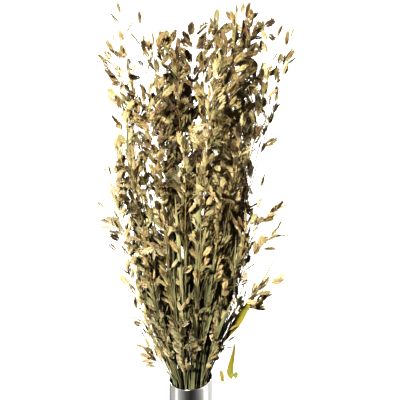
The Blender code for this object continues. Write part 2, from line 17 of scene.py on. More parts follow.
import bmesh
import bpy
import numpy as np
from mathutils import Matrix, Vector


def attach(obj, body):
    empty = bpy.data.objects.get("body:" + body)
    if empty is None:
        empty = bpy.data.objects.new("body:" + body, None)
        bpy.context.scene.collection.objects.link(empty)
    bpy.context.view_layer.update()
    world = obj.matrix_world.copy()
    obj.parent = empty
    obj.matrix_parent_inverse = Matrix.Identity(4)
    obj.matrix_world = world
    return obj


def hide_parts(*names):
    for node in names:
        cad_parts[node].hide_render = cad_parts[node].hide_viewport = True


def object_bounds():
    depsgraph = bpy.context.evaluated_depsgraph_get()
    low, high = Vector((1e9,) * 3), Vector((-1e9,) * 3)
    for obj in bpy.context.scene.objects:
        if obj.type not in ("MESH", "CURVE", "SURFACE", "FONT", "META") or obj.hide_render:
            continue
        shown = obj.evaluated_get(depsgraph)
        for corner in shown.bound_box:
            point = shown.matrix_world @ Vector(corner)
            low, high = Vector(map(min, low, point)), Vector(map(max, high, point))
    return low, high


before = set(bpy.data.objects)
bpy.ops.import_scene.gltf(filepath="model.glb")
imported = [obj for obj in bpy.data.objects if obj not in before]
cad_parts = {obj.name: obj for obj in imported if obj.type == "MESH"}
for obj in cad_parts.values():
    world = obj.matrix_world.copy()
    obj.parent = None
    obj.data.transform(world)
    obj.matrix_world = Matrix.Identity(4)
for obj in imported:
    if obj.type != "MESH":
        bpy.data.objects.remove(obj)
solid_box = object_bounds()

log = logging.getLogger("sea_oats")

Point = np.ndarray
Colour = tuple[float, float, float]
Rod = tuple[np.ndarray, np.ndarray, float]
Stop = tuple[float, Colour]
Pair = tuple[float, float]
Triple = tuple[float, float, float]
Table = tuple[Pair, ...]
Line = Sequence[Union[Point, Triple]]
Number = Union[float, np.ndarray]
Socket = bpy.types.NodeSocket
Material = bpy.types.Material
Feed = Union[Socket, float, Colour]

SEED = 4
UP = np.array([0.0, 0.0, 1.0])
GROWTH = "growth"


def blend(a: Number, b: Number, share: Number) -> Number:
    """The value a share of the way from a to b."""
    return a + (b - a) * share


def unit(v: Point) -> Point:
    """The vector at length one."""
    return v / math.sqrt(float(v @ v))


def units(rows: np.ndarray) -> np.ndarray:
    """The rows, each at length one."""
    return rows / np.linalg.norm(rows, axis=1)[:, None]


def read_off(table: Table, at: float) -> float:
    """A value read from a table of (place, value) pairs, straight between them."""
    return float(np.interp(at, [p for p, _ in table], [v for _, v in table]))


def line_length(points: Line) -> float:
    """The length of a line."""
    return sum(math.dist(points[i], points[i + 1]) for i in range(len(points) - 1))


def line_shares(points: Line) -> list[float]:
    """How far along a line each of its points is, from 0 to 1."""
    whole = line_length(points)
    return [line_length(points[: i + 1]) / whole for i in range(len(points))]


def along(points: Line, share: float) -> tuple[Point, Point]:
    """The point and direction a share of the way along a line.

    Args:
        points: The line's points.
        share: How far along it, from 0 to 1.

    Returns:
        The point there and the line's direction there.
    """
    lengths = [math.dist(points[i], points[i + 1]) for i in range(len(points) - 1)]
    left = share * sum(lengths)
    for i, length in enumerate(lengths):
        if left <= length or i == len(lengths) - 1:
            return blend(points[i], points[i + 1], min(1.0, left / length)), unit(points[i + 1] - points[i])
        left -= length
    raise ValueError("the line has no length")


def share_at_height(points: Line, height: float) -> float:
    """How far along a rising line it reaches a height, as a share.

    Args:
        points: The line's points.
        height: The height.

    Returns:
        The share of its length, 1 where it stays lower.
    """
    total = 0.0
    for i in range(len(points) - 1):
        low, high = points[i][2], points[i + 1][2]
        step = math.dist(points[i], points[i + 1])
        if high >= height:
            return (total + step * max(0.0, height - low) / (high - low)) / line_length(points)
        total += step
    return 1.0


def leaving_line(points: Line, share: float, end: Point, spans: int) -> list[Point]:
    """A line that leaves another at a share of its length, along it at first, and ends at a point.

    Args:
        points: The line that is left.
        share: Where it is left, as a share of its length.
        end: Where the new line ends.
        spans: The new line's spans.

    Returns:
        The new line's points.
    """
    root, direction = along(points, share)
    bend = root + direction * 0.5 * math.dist(root, end)
    made = []
    for i in range(spans + 1):
        t = i / spans
        made.append(root * (1 - t) ** 2 + bend * 2 * t * (1 - t) + end * t * t)
    return made


def side_vectors(direction: Point, outward: Point) -> tuple[Point, Point]:
    """Two directions square to a line: the one most outward, and the one across it."""
    out = unit(outward - direction * float(outward @ direction))
    return out, np.cross(direction, out)


def outward_at(point: Point) -> Point:
    """The level direction away from the bunch's middle."""
    flat = np.array([point[0], point[1], 0.0])
    return unit(flat) if flat @ flat > 1e-8 else np.array([0.0, -1.0, 0.0])


def smooth_line(points: Line, spans: int) -> list[Point]:
    """A rounder line through the same points, evenly spaced.

    Args:
        points: The line's points.
        spans: The new line's spans.

    Returns:
        The new line's points.
    """
    held = np.array(points)
    held = np.vstack([2 * held[0] - held[1], held, 2 * held[-1] - held[-2]])
    made = []
    for i in range(1, len(held) - 2):
        a, b, c, d = held[i - 1 : i + 3]
        for t in np.linspace(0, 1, 12, endpoint=False):
            made.append(
                0.5 * (2 * b + (c - a) * t + (2 * a - 5 * b + 4 * c - d) * t**2 + (3 * b - a - 3 * c + d) * t**3)
            )
    made.append(held[-2])
    return [along(made, i / spans)[0] for i in range(spans + 1)]


def nearest_on(points: Line, spot: Point) -> Point:
    """The point of a line that is nearest to a spot.

    Args:
        points: The line's points.
        spot: The spot.

    Returns:
        The nearest point.
    """
    best, least = points[0], math.inf
    for a, b in zip(points, points[1:]):
        way = b - a
        t = min(1.0, max(0.0, float((spot - a) @ way) / float(way @ way)))
        found = a + way * t
        gap = math.dist(found, spot)
        if gap < least:
            best, least = found, gap
    return best


class RodField:
    """The straight rods that stand for all that is laid so far, each with the culm it belongs to."""

    ROOM = 40000
    REACH = 0.004

    def __init__(self) -> None:
        """Starts with nothing laid."""
        self.count = 0
        self.starts, self.ends, self.lows, self.highs = np.zeros((4, self.ROOM, 3))
        self.radii = np.zeros(self.ROOM)
        self.owners = np.zeros(self.ROOM, int)

    def add(self, rods: Sequence[Rod], owner: int) -> None:
        """Keeps the place that rods take.

        Args:
            rods: Their starts, ends and radii.
            owner: The number of their culm.
        """
        for start, end, radius in rods:
            i = self.count
            self.starts[i], self.ends[i], self.radii[i], self.owners[i] = start, end, radius, owner
            self.lows[i] = np.minimum(start, end) - radius
            self.highs[i] = np.maximum(start, end) + radius
            self.count += 1

    def gap(self, rods: Sequence[Rod], leave_out: int = -1) -> float:
        """The least free distance from rods to the kept ones that are near them.

        Args:
            rods: Their starts, ends and radii.
            leave_out: The owner whose rods don't count.

        Returns:
            The least distance in metres, below 0 where rods meet.
        """
        n = self.count
        keep = self.owners[:n] != leave_out
        least = 1.0
        for start, end, radius in rods:
            reach = radius + self.REACH
            near = keep & (self.lows[:n] <= np.maximum(start, end) + reach).all(axis=1)
            near &= (self.highs[:n] >= np.minimum(start, end) - reach).all(axis=1)
            if not near.any():
                continue
            starts, radii = self.starts[:n][near], self.radii[:n][near]
            ways = self.ends[:n][near] - starts
            lengths = (ways * ways).sum(axis=1)
            way = end - start
            off = start - starts
            length = way @ way
            ahead, across = off @ way, (ways * off).sum(axis=1)
            both = ways @ way
            spread = np.maximum(length * lengths - both * both, 1e-18)
            s = np.clip((both * across - ahead * lengths) / spread, 0.0, 1.0)
            t = np.clip((both * s + across) / lengths, 0.0, 1.0)
            s = np.clip((both * t - ahead) / length, 0.0, 1.0)
            apart = off + s[:, None] * way - t[:, None] * ways
            free = np.sqrt((apart * apart).sum(axis=1)) - radii - radius
            least = min(least, float(free.min()))
        return least


@dataclass(frozen=True)
class Stock:
    """A shape that is placed many times: its mesh, its points as numbers, and its own growth values."""

    mesh: bpy.types.Mesh
    places: np.ndarray
    growth: np.ndarray

    @classmethod
    def kept(cls, name: str, bm: bmesh.types.BMesh, growth: np.ndarray | None = None) -> Stock:
        """Keeps a bmesh as stock and frees it.

        Args:
            name: The stock's name.
            bm: The shape.
            growth: Four values for each point, or none.

        Returns:
            The stock.
        """
        mesh = bpy.data.meshes.new(name)
        bm.to_mesh(mesh)
        bm.free()
        places = np.array([v.co for v in mesh.vertices], float)
        return cls(mesh, places, growth if growth is not None else np.zeros((len(places), 4)))

    @classmethod
    def tube(cls, spans: int, sides: int) -> Stock:
        """A closed tube: its points hold the turn round it, and the ring's number as their height.

        Args:
            spans: How many spans it has.
            sides: How many sides it has.

        Returns:
            The stock.
        """
        bm = bmesh.new()
        bmesh.ops.create_circle(bm, cap_ends=True, segments=sides, radius=1.0)
        bmesh.ops.recalc_face_normals(bm, faces=bm.faces)
        cap = list(bm.faces)
        for ring in range(spans):
            grown = bmesh.ops.extrude_face_region(bm, geom=cap)["geom"]
            if ring:
                bmesh.ops.delete(bm, geom=cap, context="FACES_ONLY")
            cap = [g for g in grown if isinstance(g, bmesh.types.BMFace)]
            risen = [g for g in grown if isinstance(g, bmesh.types.BMVert)]
            bmesh.ops.translate(bm, verts=risen, vec=(0.0, 0.0, 1.0))
        bmesh.ops.recalc_face_normals(bm, faces=bm.faces)
        return cls.kept(f"tube_{spans}_{sides}", bm)

    @classmethod
    def strip(cls, spans: int, columns: int) -> Stock:
        """A thin closed blade: across from -1 to 1, along by the row's number, and half a unit thick each way.

        Args:
            spans: Its rows of faces.
            columns: Its columns of faces.

        Returns:
            The stock.
        """
        bm = bmesh.new()
        bmesh.ops.create_grid(bm, x_segments=columns, y_segments=spans, size=1.0)
        bmesh.ops.solidify(bm, geom=list(bm.faces), thickness=1.0)
        low = min(v.co.z for v in bm.verts)
        for vert in bm.verts:
            vert.co.y = round((vert.co.y + 1.0) / 2.0 * spans)
            vert.co.z = -0.5 if vert.co.z < low + 0.5 else 0.5
        bmesh.ops.recalc_face_normals(bm, faces=bm.faces)
        return cls.kept(f"strip_{spans}_{columns}", bm)


def placed(name: str, data: bpy.types.ID) -> bpy.types.Object:
    """Puts a mesh, a lamp or a camera into the scene.

    Args:
        name: The new object's name.
        data: What it shows.

    Returns:
        The object.
    """
    made = bpy.data.objects.new(name, data)
    bpy.context.scene.collection.objects.link(made)
    return made


class Bench:
    """Gathers placed copies of stock into one mesh, with four growth values at each point."""

    def __init__(self) -> None:
        """Starts with an empty mesh."""
        self.bm = bmesh.new()
        self.layer = self.bm.verts.layers.float_color.new(GROWTH)

    def lay(self, stock: Stock, places: np.ndarray, growth: np.ndarray, slot: int = 0) -> None:
        """Lays one copy of a stock shape.

        Args:
            stock: The shape.
            places: Its points' places.
            growth: Four values for each point.
            slot: Its material's number.
        """
        first, first_face = len(self.bm.verts), len(self.bm.faces)
        self.bm.from_mesh(stock.mesh)
        self.bm.verts.ensure_lookup_table()
        self.bm.faces.ensure_lookup_table()
        for vert, place, values in zip(self.bm.verts[first:], places, growth):
            vert.co = place
            vert[self.layer] = values
        for face in self.bm.faces[first_face:]:
            face.material_index = slot

    def tube(self, stock: Stock, points: Line, radii: Sequence[float], growth: Sequence[float],
             slot: int = 0, marks: Sequence[float] | None = None) -> None:
        """Lays a tube along a line.

        Args:
            stock: A tube of as many spans.
            points: The line's points.
            radii: Its radius at each point.
            growth: Its tone, and its first and last value.
            slot: Its material's number.
            marks: A last value at each point.
        """
        line = np.array(points)
        ways = units(np.gradient(line, axis=0))
        whole = line[-1] - line[0]
        reference = np.array([0.0, 1.0, 0.0]) if abs(whole[1]) < 0.8 * np.linalg.norm(whole) else UP
        sides = units(np.cross(ways, reference))
        others = np.cross(ways, sides)
        ring = np.rint(stock.places[:, 2]).astype(int)
        x, y = stock.places[:, :1], stock.places[:, 1:2]
        places = line[ring] + np.array(radii)[ring, None] * (x * sides[ring] + y * others[ring])
        share = ring / (len(line) - 1)
        around = np.arctan2(stock.places[:, 1], stock.places[:, 0]) / math.tau + 0.5
        last = np.array(marks)[ring] if marks is not None else np.zeros(len(ring))
        values = np.column_stack([np.full(len(ring), growth[0]), blend(growth[1], growth[2], share), around, last])
        self.lay(stock, places, values, slot)

    def blade(self, stock: Stock, middle: Line, acrosses: Line, widths: Sequence[float],
              fold: float, thickness: float, tone: float, mark: float = 0.0, slot: int = 0, wave: float = 0.0,
              seed: float = 0.0, run: Pair = (0.0, 1.0)) -> None:
        """Lays a thin blade along a line, folded a little along its middle.

        Args:
            stock: A strip of as many spans.
            middle: The points of its midrib.
            acrosses: The way across it at each point.
            widths: Its half width at each point.
            fold: How far its sides rise, in half widths.
            thickness: Its thickness.
            tone: Its tone.
            mark: A last value for the whole blade.
            slot: Its material's number.
            wave: How far its edges ripple, in half widths.
            seed: Where the ripple starts.
            run: The growth values at its root and tip.
        """
        line, wide, side = np.array(middle), np.array(widths), np.array(acrosses)
        ways = units(np.gradient(line, axis=0))
        side = units(side - ways * (side * ways).sum(axis=1)[:, None])
        up = np.cross(side, ways)
        row = np.rint(stock.places[:, 1]).astype(int)
        column = stock.places[:, 0]
        share = row / (len(line) - 1)
        ripple = wave * np.sin(seed + share * 17.0 + np.sign(column) * 1.3) * np.abs(column)
        lift = (fold * np.abs(column) ** 1.4 + ripple) * wide[row] + stock.places[:, 2] * thickness
        places = line[row] + side[row] * (wide[row] * column)[:, None] + up[row] * lift[:, None]
        grown = blend(run[0], run[1], share)
        values = np.column_stack([np.full(len(row), tone), grown, column * 0.5 + 0.5, np.full(len(row), mark)])
        self.lay(stock, places, values, slot)

    def piece(self, name: str, materials: Sequence[Material], crease: float) -> bpy.types.Object:
        """Makes the gathered mesh an object of the scene.

        Args:
            name: The piece's name.
            materials: Its materials, by number.
            crease: The degrees past which an edge stays sharp.

        Returns:
            The new object.
        """
        mesh = bpy.data.meshes.new(name)
        self.bm.to_mesh(mesh)
        self.bm.free()
        for material in materials:
            mesh.materials.append(material)
        mesh.shade_smooth()
        mesh.set_sharp_from_angle(angle=math.radians(crease))
        return placed(name, mesh)


class Slot(Enum):
    """The finishes that the record names."""

    STEEL = "polished_steel"
    OLIVE = "olive_leaf"
    STRAW = "dried_straw"


def settle(piece: bpy.types.Object, node: str) -> None:
    """Puts a piece in the frame in place of a solid.

    Args:
        piece: The piece.
        node: The solid that it stands for.
    """
    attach(piece, "root")
    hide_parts(node)
    log.info("%s: %d faces for %s", piece.name, len(piece.data.polygons), node)


class Shades:
    """A material's nodes, with a call for each kind of step that the finishes use."""

    def __init__(self, name: str, roughness: float, metallic: float = 0.0, specular: float = 0.5) -> None:
        """Starts a material with a shader of even values.

        Args:
            name: The material's name.
            roughness: The shader's roughness.
            metallic: How metallic it is.
            specular: How strongly it shines.
        """
        self.material = bpy.data.materials.new(name)
        self.material.use_nodes = True
        self.tree = self.material.node_tree
        self.shader = self.tree.nodes["Principled BSDF"]
        self.shader.inputs["Roughness"].default_value = roughness
        self.shader.inputs["Metallic"].default_value = metallic
        self.shader.inputs["Specular IOR Level"].default_value = specular

    def node(self, kind: str, **values: str) -> bpy.types.Node:
        """A new node with some of its properties set.

        Args:
            kind: The node's type.
            values: The properties by name.

        Returns:
            The node.
        """
        made = self.tree.nodes.new(kind)
        for key, value in values.items():
            setattr(made, key, value)
        return made

    def put(self, socket: Socket, value: Feed) -> None:
        """Links a socket into another, or sets it to a value.

        Args:
            socket: The socket that is fed.
            value: What feeds it.
        """
        if isinstance(value, Socket):
            self.tree.links.new(value, socket)
        else:
            socket.default_value = value

    def growth(self) -> tuple[Socket, ...]:
        """The piece's own four growth values.

        Returns:
            Their sockets in order.
        """
        read = self.node("ShaderNodeAttribute", attribute_name=GROWTH)
        parts = self.node("ShaderNodeSeparateColor")
        self.put(parts.inputs["Color"], read.outputs["Color"])
        return (*(parts.outputs[c] for c in ("Red", "Green", "Blue")), read.outputs["Alpha"])

    def coordinates(self, scale: Triple = (1.0, 1.0, 1.0)) -> Socket:
        """Object coordinates, stretched.

        Args:
            scale: How much along each axis.

        Returns:
            The coordinates.
        """
        read = self.node("ShaderNodeTexCoord")
        mapping = self.node("ShaderNodeMapping")
        self.put(mapping.inputs["Vector"], read.outputs["Object"])
        mapping.inputs["Scale"].default_value = scale
        return mapping.outputs["Vector"]

    def noise(self, vector: Socket, scale: float, detail: float = 2.0) -> Socket:
        """Cloudy noise from 0 to 1.

        Args:
            vector: Where it is read.
            scale: How fine it is.
            detail: Its finer layers.

        Returns:
            The noise.
        """
        made = self.node("ShaderNodeTexNoise")
        self.put(made.inputs["Vector"], vector)
        made.inputs["Scale"].default_value = scale
        made.inputs["Detail"].default_value = detail
        return made.outputs["Fac"]

    def sum(self, kind: str, a: Feed, b: Feed, c: Feed | None = None) -> Socket:
        """One step of arithmetic on sockets or numbers.

        Args:
            kind: The operation.
            a: The first term.
            b: The second term.
            c: The third term, if any.

        Returns:
            The result.
        """
        made = self.node("ShaderNodeMath", operation=kind)
        for socket, value in zip(made.inputs, (a, b, c)):
            if value is not None:
                self.put(socket, value)
        return made.outputs["Value"]

    def ramp(self, factor: Socket, stops: Sequence[Stop]) -> Socket:
        """Colours read off a factor.

        Args:
            factor: The factor.
            stops: The colours and their places.

        Returns:
            The colour.
        """
        made = self.node("ShaderNodeValToRGB")
        elements = made.color_ramp.elements
        while len(elements) < len(stops):
            elements.new(0.5)
        for element, (place, colour) in zip(elements, stops):
            element.position = place
            element.color = (*colour, 1.0)
        self.put(made.inputs["Fac"], factor)
        return made.outputs["Color"]

    def mix(self, factor: Feed, a: Feed, b: Feed) -> Socket:
        """One colour laid over another.

        Args:
            factor: How much the second one covers.
            a: The colour below.
            b: The colour above.

        Returns:
            The colour.
        """
        made = self.node("ShaderNodeMix", data_type="RGBA", blend_type="MIX")
        self.put(made.inputs[0], factor)
        for socket, value in ((made.inputs[6], a), (made.inputs[7], b)):
            self.put(socket, (*value, 1.0) if isinstance(value, tuple) else value)
        return made.outputs[2]

    def spread(self, value: Socket, low: float, high: float, to_low: float = 0.0, to_high: float = 1.0) -> Socket:
        """A value stretched from one range to another and held inside it.

        Args:
            value: The value.
            low: The start of its range.
            high: The end of its range.
            to_low: The start of the new range.
            to_high: The end of the new range.

        Returns:
            The new value.
        """
        made = self.node("ShaderNodeMapRange")
        for key, number in (("From Min", low), ("From Max", high), ("To Min", to_low), ("To Max", to_high)):
            made.inputs[key].default_value = number
        self.put(made.inputs["Value"], value)
        return made.outputs["Result"]

    def coat(self, colour: Socket, roughness: Socket, height: Socket, depth: float) -> Material:
        """Links the patterns into the shader.

        Args:
            colour: The colour pattern.
            roughness: The roughness pattern.
            height: The relief pattern.
            depth: How deep the relief is, in metres.

        Returns:
            The material.
        """
        self.put(self.shader.inputs["Base Color"], colour)
        self.put(self.shader.inputs["Roughness"], roughness)
        bump = self.node("ShaderNodeBump")
        bump.inputs["Strength"].default_value = 1.0
        bump.inputs["Distance"].default_value = depth
        self.put(bump.inputs["Height"], height)
        self.put(self.shader.inputs["Normal"], bump.outputs["Normal"])
        return self.material


@dataclass(frozen=True)
class HuskFinish:
    """Dry papery scales: straw and tan, some gone brown, with fine veins that run to each point."""

    tones: tuple[Stop, ...] = (
        (0.0, (0.028, 0.016, 0.007)), (0.22, (0.108, 0.07, 0.027)), (0.48, (0.305, 0.24, 0.11)),
        (0.74, (0.392, 0.333, 0.19)), (1.0, (0.408, 0.37, 0.27)),
    )
    green: Colour = (0.232, 0.24, 0.112)
    ruddy: Colour = (0.235, 0.138, 0.068)
    veins: float = 34.0

    def material(self) -> Material:
        """Makes the material.

        Returns:
            The material of the spikelets.
        """
        s = Shades("dry_husk", 0.62, specular=0.35)
        tone, length, across, scale = s.growth()
        where = s.coordinates()
        blotch = s.noise(where, 95.0, 3.0)
        fleck = s.noise(where, 900.0, 2.0)
        pick = s.sum("MULTIPLY_ADD", scale, 0.38, tone)
        pick = s.sum("MULTIPLY_ADD", blotch, 0.34, pick)
        pick = s.sum("MULTIPLY_ADD", fleck, 0.16, pick)
        pick = s.sum("ADD", pick, -0.42)
        # Painted shade: each scale is darker toward its base, where the scales overlap.
        pick = s.sum("ADD", pick, s.spread(length, 0.05, 0.42, -0.24, 0.0))
        pick = s.sum("ADD", pick, s.spread(length, 0.86, 1.0, 0.0, -0.1))
        colour = s.ramp(pick, self.tones)
        veins = s.sum("SINE", s.sum("MULTIPLY", across, self.veins), 0.0)
        lines = s.spread(veins, -0.2, 1.0, 0.0, 0.36)
        colour = s.mix(lines, colour, (0.16, 0.11, 0.045))
        greener = s.spread(s.noise(where, 34.0, 1.0), 0.5, 0.66, 0.0, 0.48)
        colour = s.mix(greener, colour, self.green)
        redder = s.spread(s.noise(s.coordinates((1.0, 1.0, 0.8)), 41.0, 1.0), 0.54, 0.7, 0.0, 0.42)
        colour = s.mix(redder, colour, self.ruddy)
        relief = s.sum("MULTIPLY_ADD", fleck, 0.5, veins)
        return s.coat(colour, s.spread(blotch, 0.3, 0.7, 0.52, 0.74), relief, 0.00012)


@dataclass(frozen=True)
class StemFinish:
    """Dried culm: grey green low down and straw above, streaked along its length, brown at the joints."""

    low: tuple[Stop, ...] = (
        (0.0, (0.034, 0.03, 0.016)), (0.35, (0.115, 0.118, 0.07)), (0.7, (0.205, 0.21, 0.13)),
        (1.0, (0.32, 0.3, 0.19)),
    )
    high: tuple[Stop, ...] = (
        (0.0, (0.11, 0.07, 0.026)), (0.45, (0.28, 0.21, 0.085)), (1.0, (0.46, 0.37, 0.18)),
    )
    joint: Colour = (0.095, 0.062, 0.028)

    def material(self) -> Material:
        """Makes the material.

        Returns:
            The material of the culms.
        """
        s = Shades("culm_straw", 0.5, specular=0.4)
        tone, height, _, mark = s.growth()
        streak = s.noise(s.coordinates((1.0, 1.0, 0.03)), 1400.0, 2.0)
        patch = s.noise(s.coordinates((1.0, 1.0, 0.35)), 60.0, 2.0)
        pick = s.sum("MULTIPLY_ADD", streak, 0.5, s.sum("MULTIPLY_ADD", tone, 0.6, -0.3))
        pick = s.sum("MULTIPLY_ADD", patch, 0.5, pick)
        change = s.sum("MULTIPLY_ADD", patch, 0.25, height)
        colour = s.mix(s.spread(change, 0.42, 0.86), s.ramp(pick, self.low), s.ramp(pick, self.high))
        colour = s.mix(mark, colour, self.joint)
        return s.coat(colour, s.spread(streak, 0.3, 0.7, 0.42, 0.62), streak, 0.00008)


@dataclass(frozen=True)
class BladeFinish:
    """Dried leaf blade: grey green with close veins, straw at the edges and tip, with brown flecks."""

    green: tuple[Stop, ...] = (
        (0.0, (0.026, 0.024, 0.012)), (0.25, (0.08, 0.085, 0.042)), (0.6, (0.205, 0.218, 0.115)),
        (1.0, (0.37, 0.375, 0.22)),
    )
    straw: Colour = (0.42, 0.35, 0.17)
    fleck: Colour = (0.13, 0.075, 0.03)
    veins: float = 62.0

    def material(self) -> Material:
        """Makes the material.

        Returns:
            The material of the blades.
        """
        s = Shades("dry_blade", 0.52, specular=0.4)
        tone, length, across, _ = s.growth()
        where = s.coordinates((1.0, 1.0, 0.3))
        patch = s.noise(where, 70.0, 3.0)
        veins = s.sum("SINE", s.sum("MULTIPLY", across, self.veins), 0.0)
        pick = s.sum("MULTIPLY_ADD", patch, 0.55, s.sum("MULTIPLY_ADD", tone, 0.8, -0.25))
        pick = s.sum("MULTIPLY_ADD", veins, 0.07, pick)
        colour = s.ramp(pick, self.green)
        edge = s.spread(s.sum("ABSOLUTE", s.sum("SUBTRACT", across, 0.5), 0.0), 0.34, 0.5, 0.0, 0.6)
        dried = s.sum("MAXIMUM", s.spread(length, 0.55, 1.0, 0.0, 0.75), edge)
        colour = s.mix(s.sum("MULTIPLY", dried, s.spread(patch, 0.35, 0.6)), colour, self.straw)
        spots = s.spread(s.noise(s.coordinates((1.0, 1.0, 0.6)), 210.0, 2.0), 0.66, 0.74, 0.0, 0.7)
        colour = s.mix(spots, colour, self.fleck)
        return s.coat(colour, s.spread(patch, 0.3, 0.7, 0.42, 0.62), veins, 0.0001)


@dataclass(frozen=True)
class OliveFinish:
    """The broad leaf: olive and yellow green, paler to its tip, with brown spots along one edge."""

    run: tuple[Stop, ...] = (
        (0.0, (0.05, 0.042, 0.008)), (0.16, (0.1, 0.088, 0.011)), (0.34, (0.165, 0.135, 0.014)),
        (0.5, (0.125, 0.135, 0.022)), (0.62, (0.15, 0.16, 0.045)), (0.76, (0.2, 0.115, 0.055)),
        (1.0, (0.26, 0.145, 0.085)),
    )
    spot: Colour = (0.075, 0.036, 0.012)
    rust: Colour = (0.33, 0.19, 0.025)
    veins: float = 96.0

    def material(self) -> Material:
        """Makes the material.

        Returns:
            The material of the broad leaf.
        """
        s = Shades("olive_blade", 0.46, specular=0.45)
        tone, length, across, _ = s.growth()
        where = s.coordinates()
        patch = s.noise(where, 75.0, 3.0)
        place = s.sum("MULTIPLY_ADD", s.sum("SUBTRACT", patch, 0.5), 0.34, length)
        place = s.sum("ADD", place, tone)
        colour = s.ramp(place, self.run)
        veins = s.sum("SINE", s.sum("MULTIPLY", across, self.veins), 0.0)
        colour = s.mix(s.spread(veins, -0.4, 1.0, 0.0, 0.22), colour, (0.16, 0.17, 0.02))
        rust = s.spread(s.noise(where, 46.0, 2.0), 0.52, 0.66, 0.0, 0.6)
        colour = s.mix(rust, colour, self.rust)
        edge = s.spread(across, 0.0, 0.55, 0.13, -0.06)
        spots = s.spread(s.sum("ADD", s.noise(where, 170.0, 2.0), edge), 0.66, 0.72, 0.0, 0.9)
        colour = s.mix(spots, colour, self.spot)
        return s.coat(colour, s.spread(patch, 0.3, 0.7, 0.36, 0.56), veins, 0.00012)


@dataclass(frozen=True)
class SteelFinish:
    """Polished steel: a fine turned grain, a few hazy smears, and a deeper tone where handling dulled it."""

    bright: Colour = (0.66, 0.645, 0.62)
    dull: Colour = (0.52, 0.5, 0.475)

    def material(self) -> Material:
        """Makes the material.

        Returns:
            The material of the vase.
        """
        s = Shades("turned_steel", 0.12, metallic=1.0)
        grain = s.noise(s.coordinates((1.0, 1.0, 38.0)), 60.0, 3.0)
        haze = s.noise(s.coordinates((1.0, 1.0, 0.7)), 26.0, 3.0)
        colour = s.mix(s.spread(haze, 0.4, 0.7, 0.0, 0.7), self.bright, self.dull)
        rough = s.sum("MULTIPLY_ADD", grain, 0.07, s.spread(haze, 0.35, 0.72, 0.05, 0.14))
        return s.coat(colour, rough, grain, 0.00001)


@dataclass(frozen=True)
class Finishes:
    """The object's materials, each made once."""

    husk: Material
    stem: Material
    blade: Material
    olive: Material
    steel: Material

    @classmethod
    def made(cls) -> Finishes:
        """Makes them all."""
        return cls(*(kind().material() for kind in (HuskFinish, StemFinish, BladeFinish, OliveFinish, SteelFinish)))


@dataclass
class Vase:
    """The metal vase: a turned shell with a rolled lip, its rim on a slant."""

    mouth_radius: float = 0.045
    base_radius: float = 0.047
    height: float = 0.215
    wall: float = 0.0016
    floor: float = 0.007
    lip: float = 0.0024
    foot_bevel: float = 0.003
    rise_x: float = 0.09
    rise_y: float = 0.12
    rim_clearance: float = 0.0015
    throat: float = 0.041
    slant_starts: float = 0.15
    levels: int = 12
    steps: int = 96

    def rim_height(self, x: float, y: float) -> float:
        """How high the slanting rim is above the point (x, y)."""
        return self.height + self.rise_x * x + self.rise_y * y

    def clears(self, rods: Sequence[Rod]) -> bool:
        """Whether rods stay over the rim or inside the mouth.

        Args:
            rods: Their starts, ends and radii.

        Returns:
            Whether none meets the vase.
        """
        for start, end, radius in rods:
            for step in range(6):
                x, y, z = blend(start, end, step / 5)
                if z - radius < self.rim_height(x, y) + self.rim_clearance and math.hypot(x, y) + radius > self.throat:
                    return False
        return True

    def profile(self) -> list[Pair]:
        """The shell's half section, from the underside's middle to the floor's.

        Returns:
            Its points as (radius, height).
        """
        foot, base, mouth = self.foot_bevel, self.base_radius, self.mouth_radius
        made = [(0.0, 0.0), ((base - foot) * 0.6, 0.0), (base - foot, 0.0)]
        for degrees in (30, 60, 90):
            turn = math.radians(degrees)
            made.append((base - foot + foot * math.sin(turn), foot - foot * math.cos(turn)))
        neck = self.height - 1.9 * self.lip
        for i in range(1, self.levels + 1):
            made.append((blend(base, mouth - 0.0004, i / self.levels), blend(foot, neck, i / self.levels)))
        bead, middle = self.lip / 2, (mouth - self.lip / 2, self.height - self.lip / 2)
        for degrees in range(-50, 231, 28):
            turn = math.radians(degrees)
            made.append((middle[0] + bead * math.cos(turn), middle[1] + bead * math.sin(turn)))
        inner = [(mouth - self.wall - 0.0002, neck - 0.0004), (base - self.wall, self.floor + 0.002)]
        for i in range(self.levels + 1):
            share = i / self.levels
            made.append((blend(inner[0][0], inner[1][0], share), blend(inner[0][1], inner[1][1], share)))
        bore = base - self.wall
        return made + [(bore - 0.002, self.floor), (bore * 0.5, self.floor), (0.0, self.floor)]

    def build(self, finishes: Finishes) -> None:
        """Turns the shell, cuts its rim on the slant and dresses it.

        Args:
            finishes: The materials.
        """
        bm = bmesh.new()
        verts = [bm.verts.new((r, 0.0, z)) for r, z in self.profile()]
        edges = [bm.edges.new(pair) for pair in zip(verts, verts[1:])]
        bmesh.ops.spin(bm, geom=verts + edges, cent=(0, 0, 0), axis=(0, 0, 1), dvec=(0, 0, 0), angle=math.tau,
                       steps=self.steps, use_merge=True, use_duplicate=False)
        bmesh.ops.remove_doubles(bm, verts=bm.verts, dist=0.00001)
        for vert in bm.verts:
            rise = max(0.0, (vert.co.z - self.slant_starts) / (self.height - self.slant_starts))
            vert.co.z += (self.rise_x * vert.co.x + self.rise_y * vert.co.y) * rise
        bmesh.ops.recalc_face_normals(bm, faces=bm.faces)
        mesh = bpy.data.meshes.new("vase_shell")
        bm.to_mesh(mesh)
        bm.free()
        mesh.shade_smooth()
        mesh.set_sharp_from_angle(angle=math.radians(40))
        mesh.materials.append(finishes.steel)
        settle(placed("vase_shell", mesh), "vase")


class Head(NamedTuple):
    """Where a culm's head ends, and how far the culm bows out between mouth and tip."""

    x: float
    y: float
    z: float
    bow: float


class Fan(NamedTuple):
    """Culms that fill a side by rule: how many, and the middle and width of their fan in degrees."""

    count: int
    middle: float
    width: float


@dataclass(frozen=True)
class Course:
    """How one culm runs, from where it leaves the mouth to its tip."""

    head: Point
    bow: float
    angle: float
    reach: float


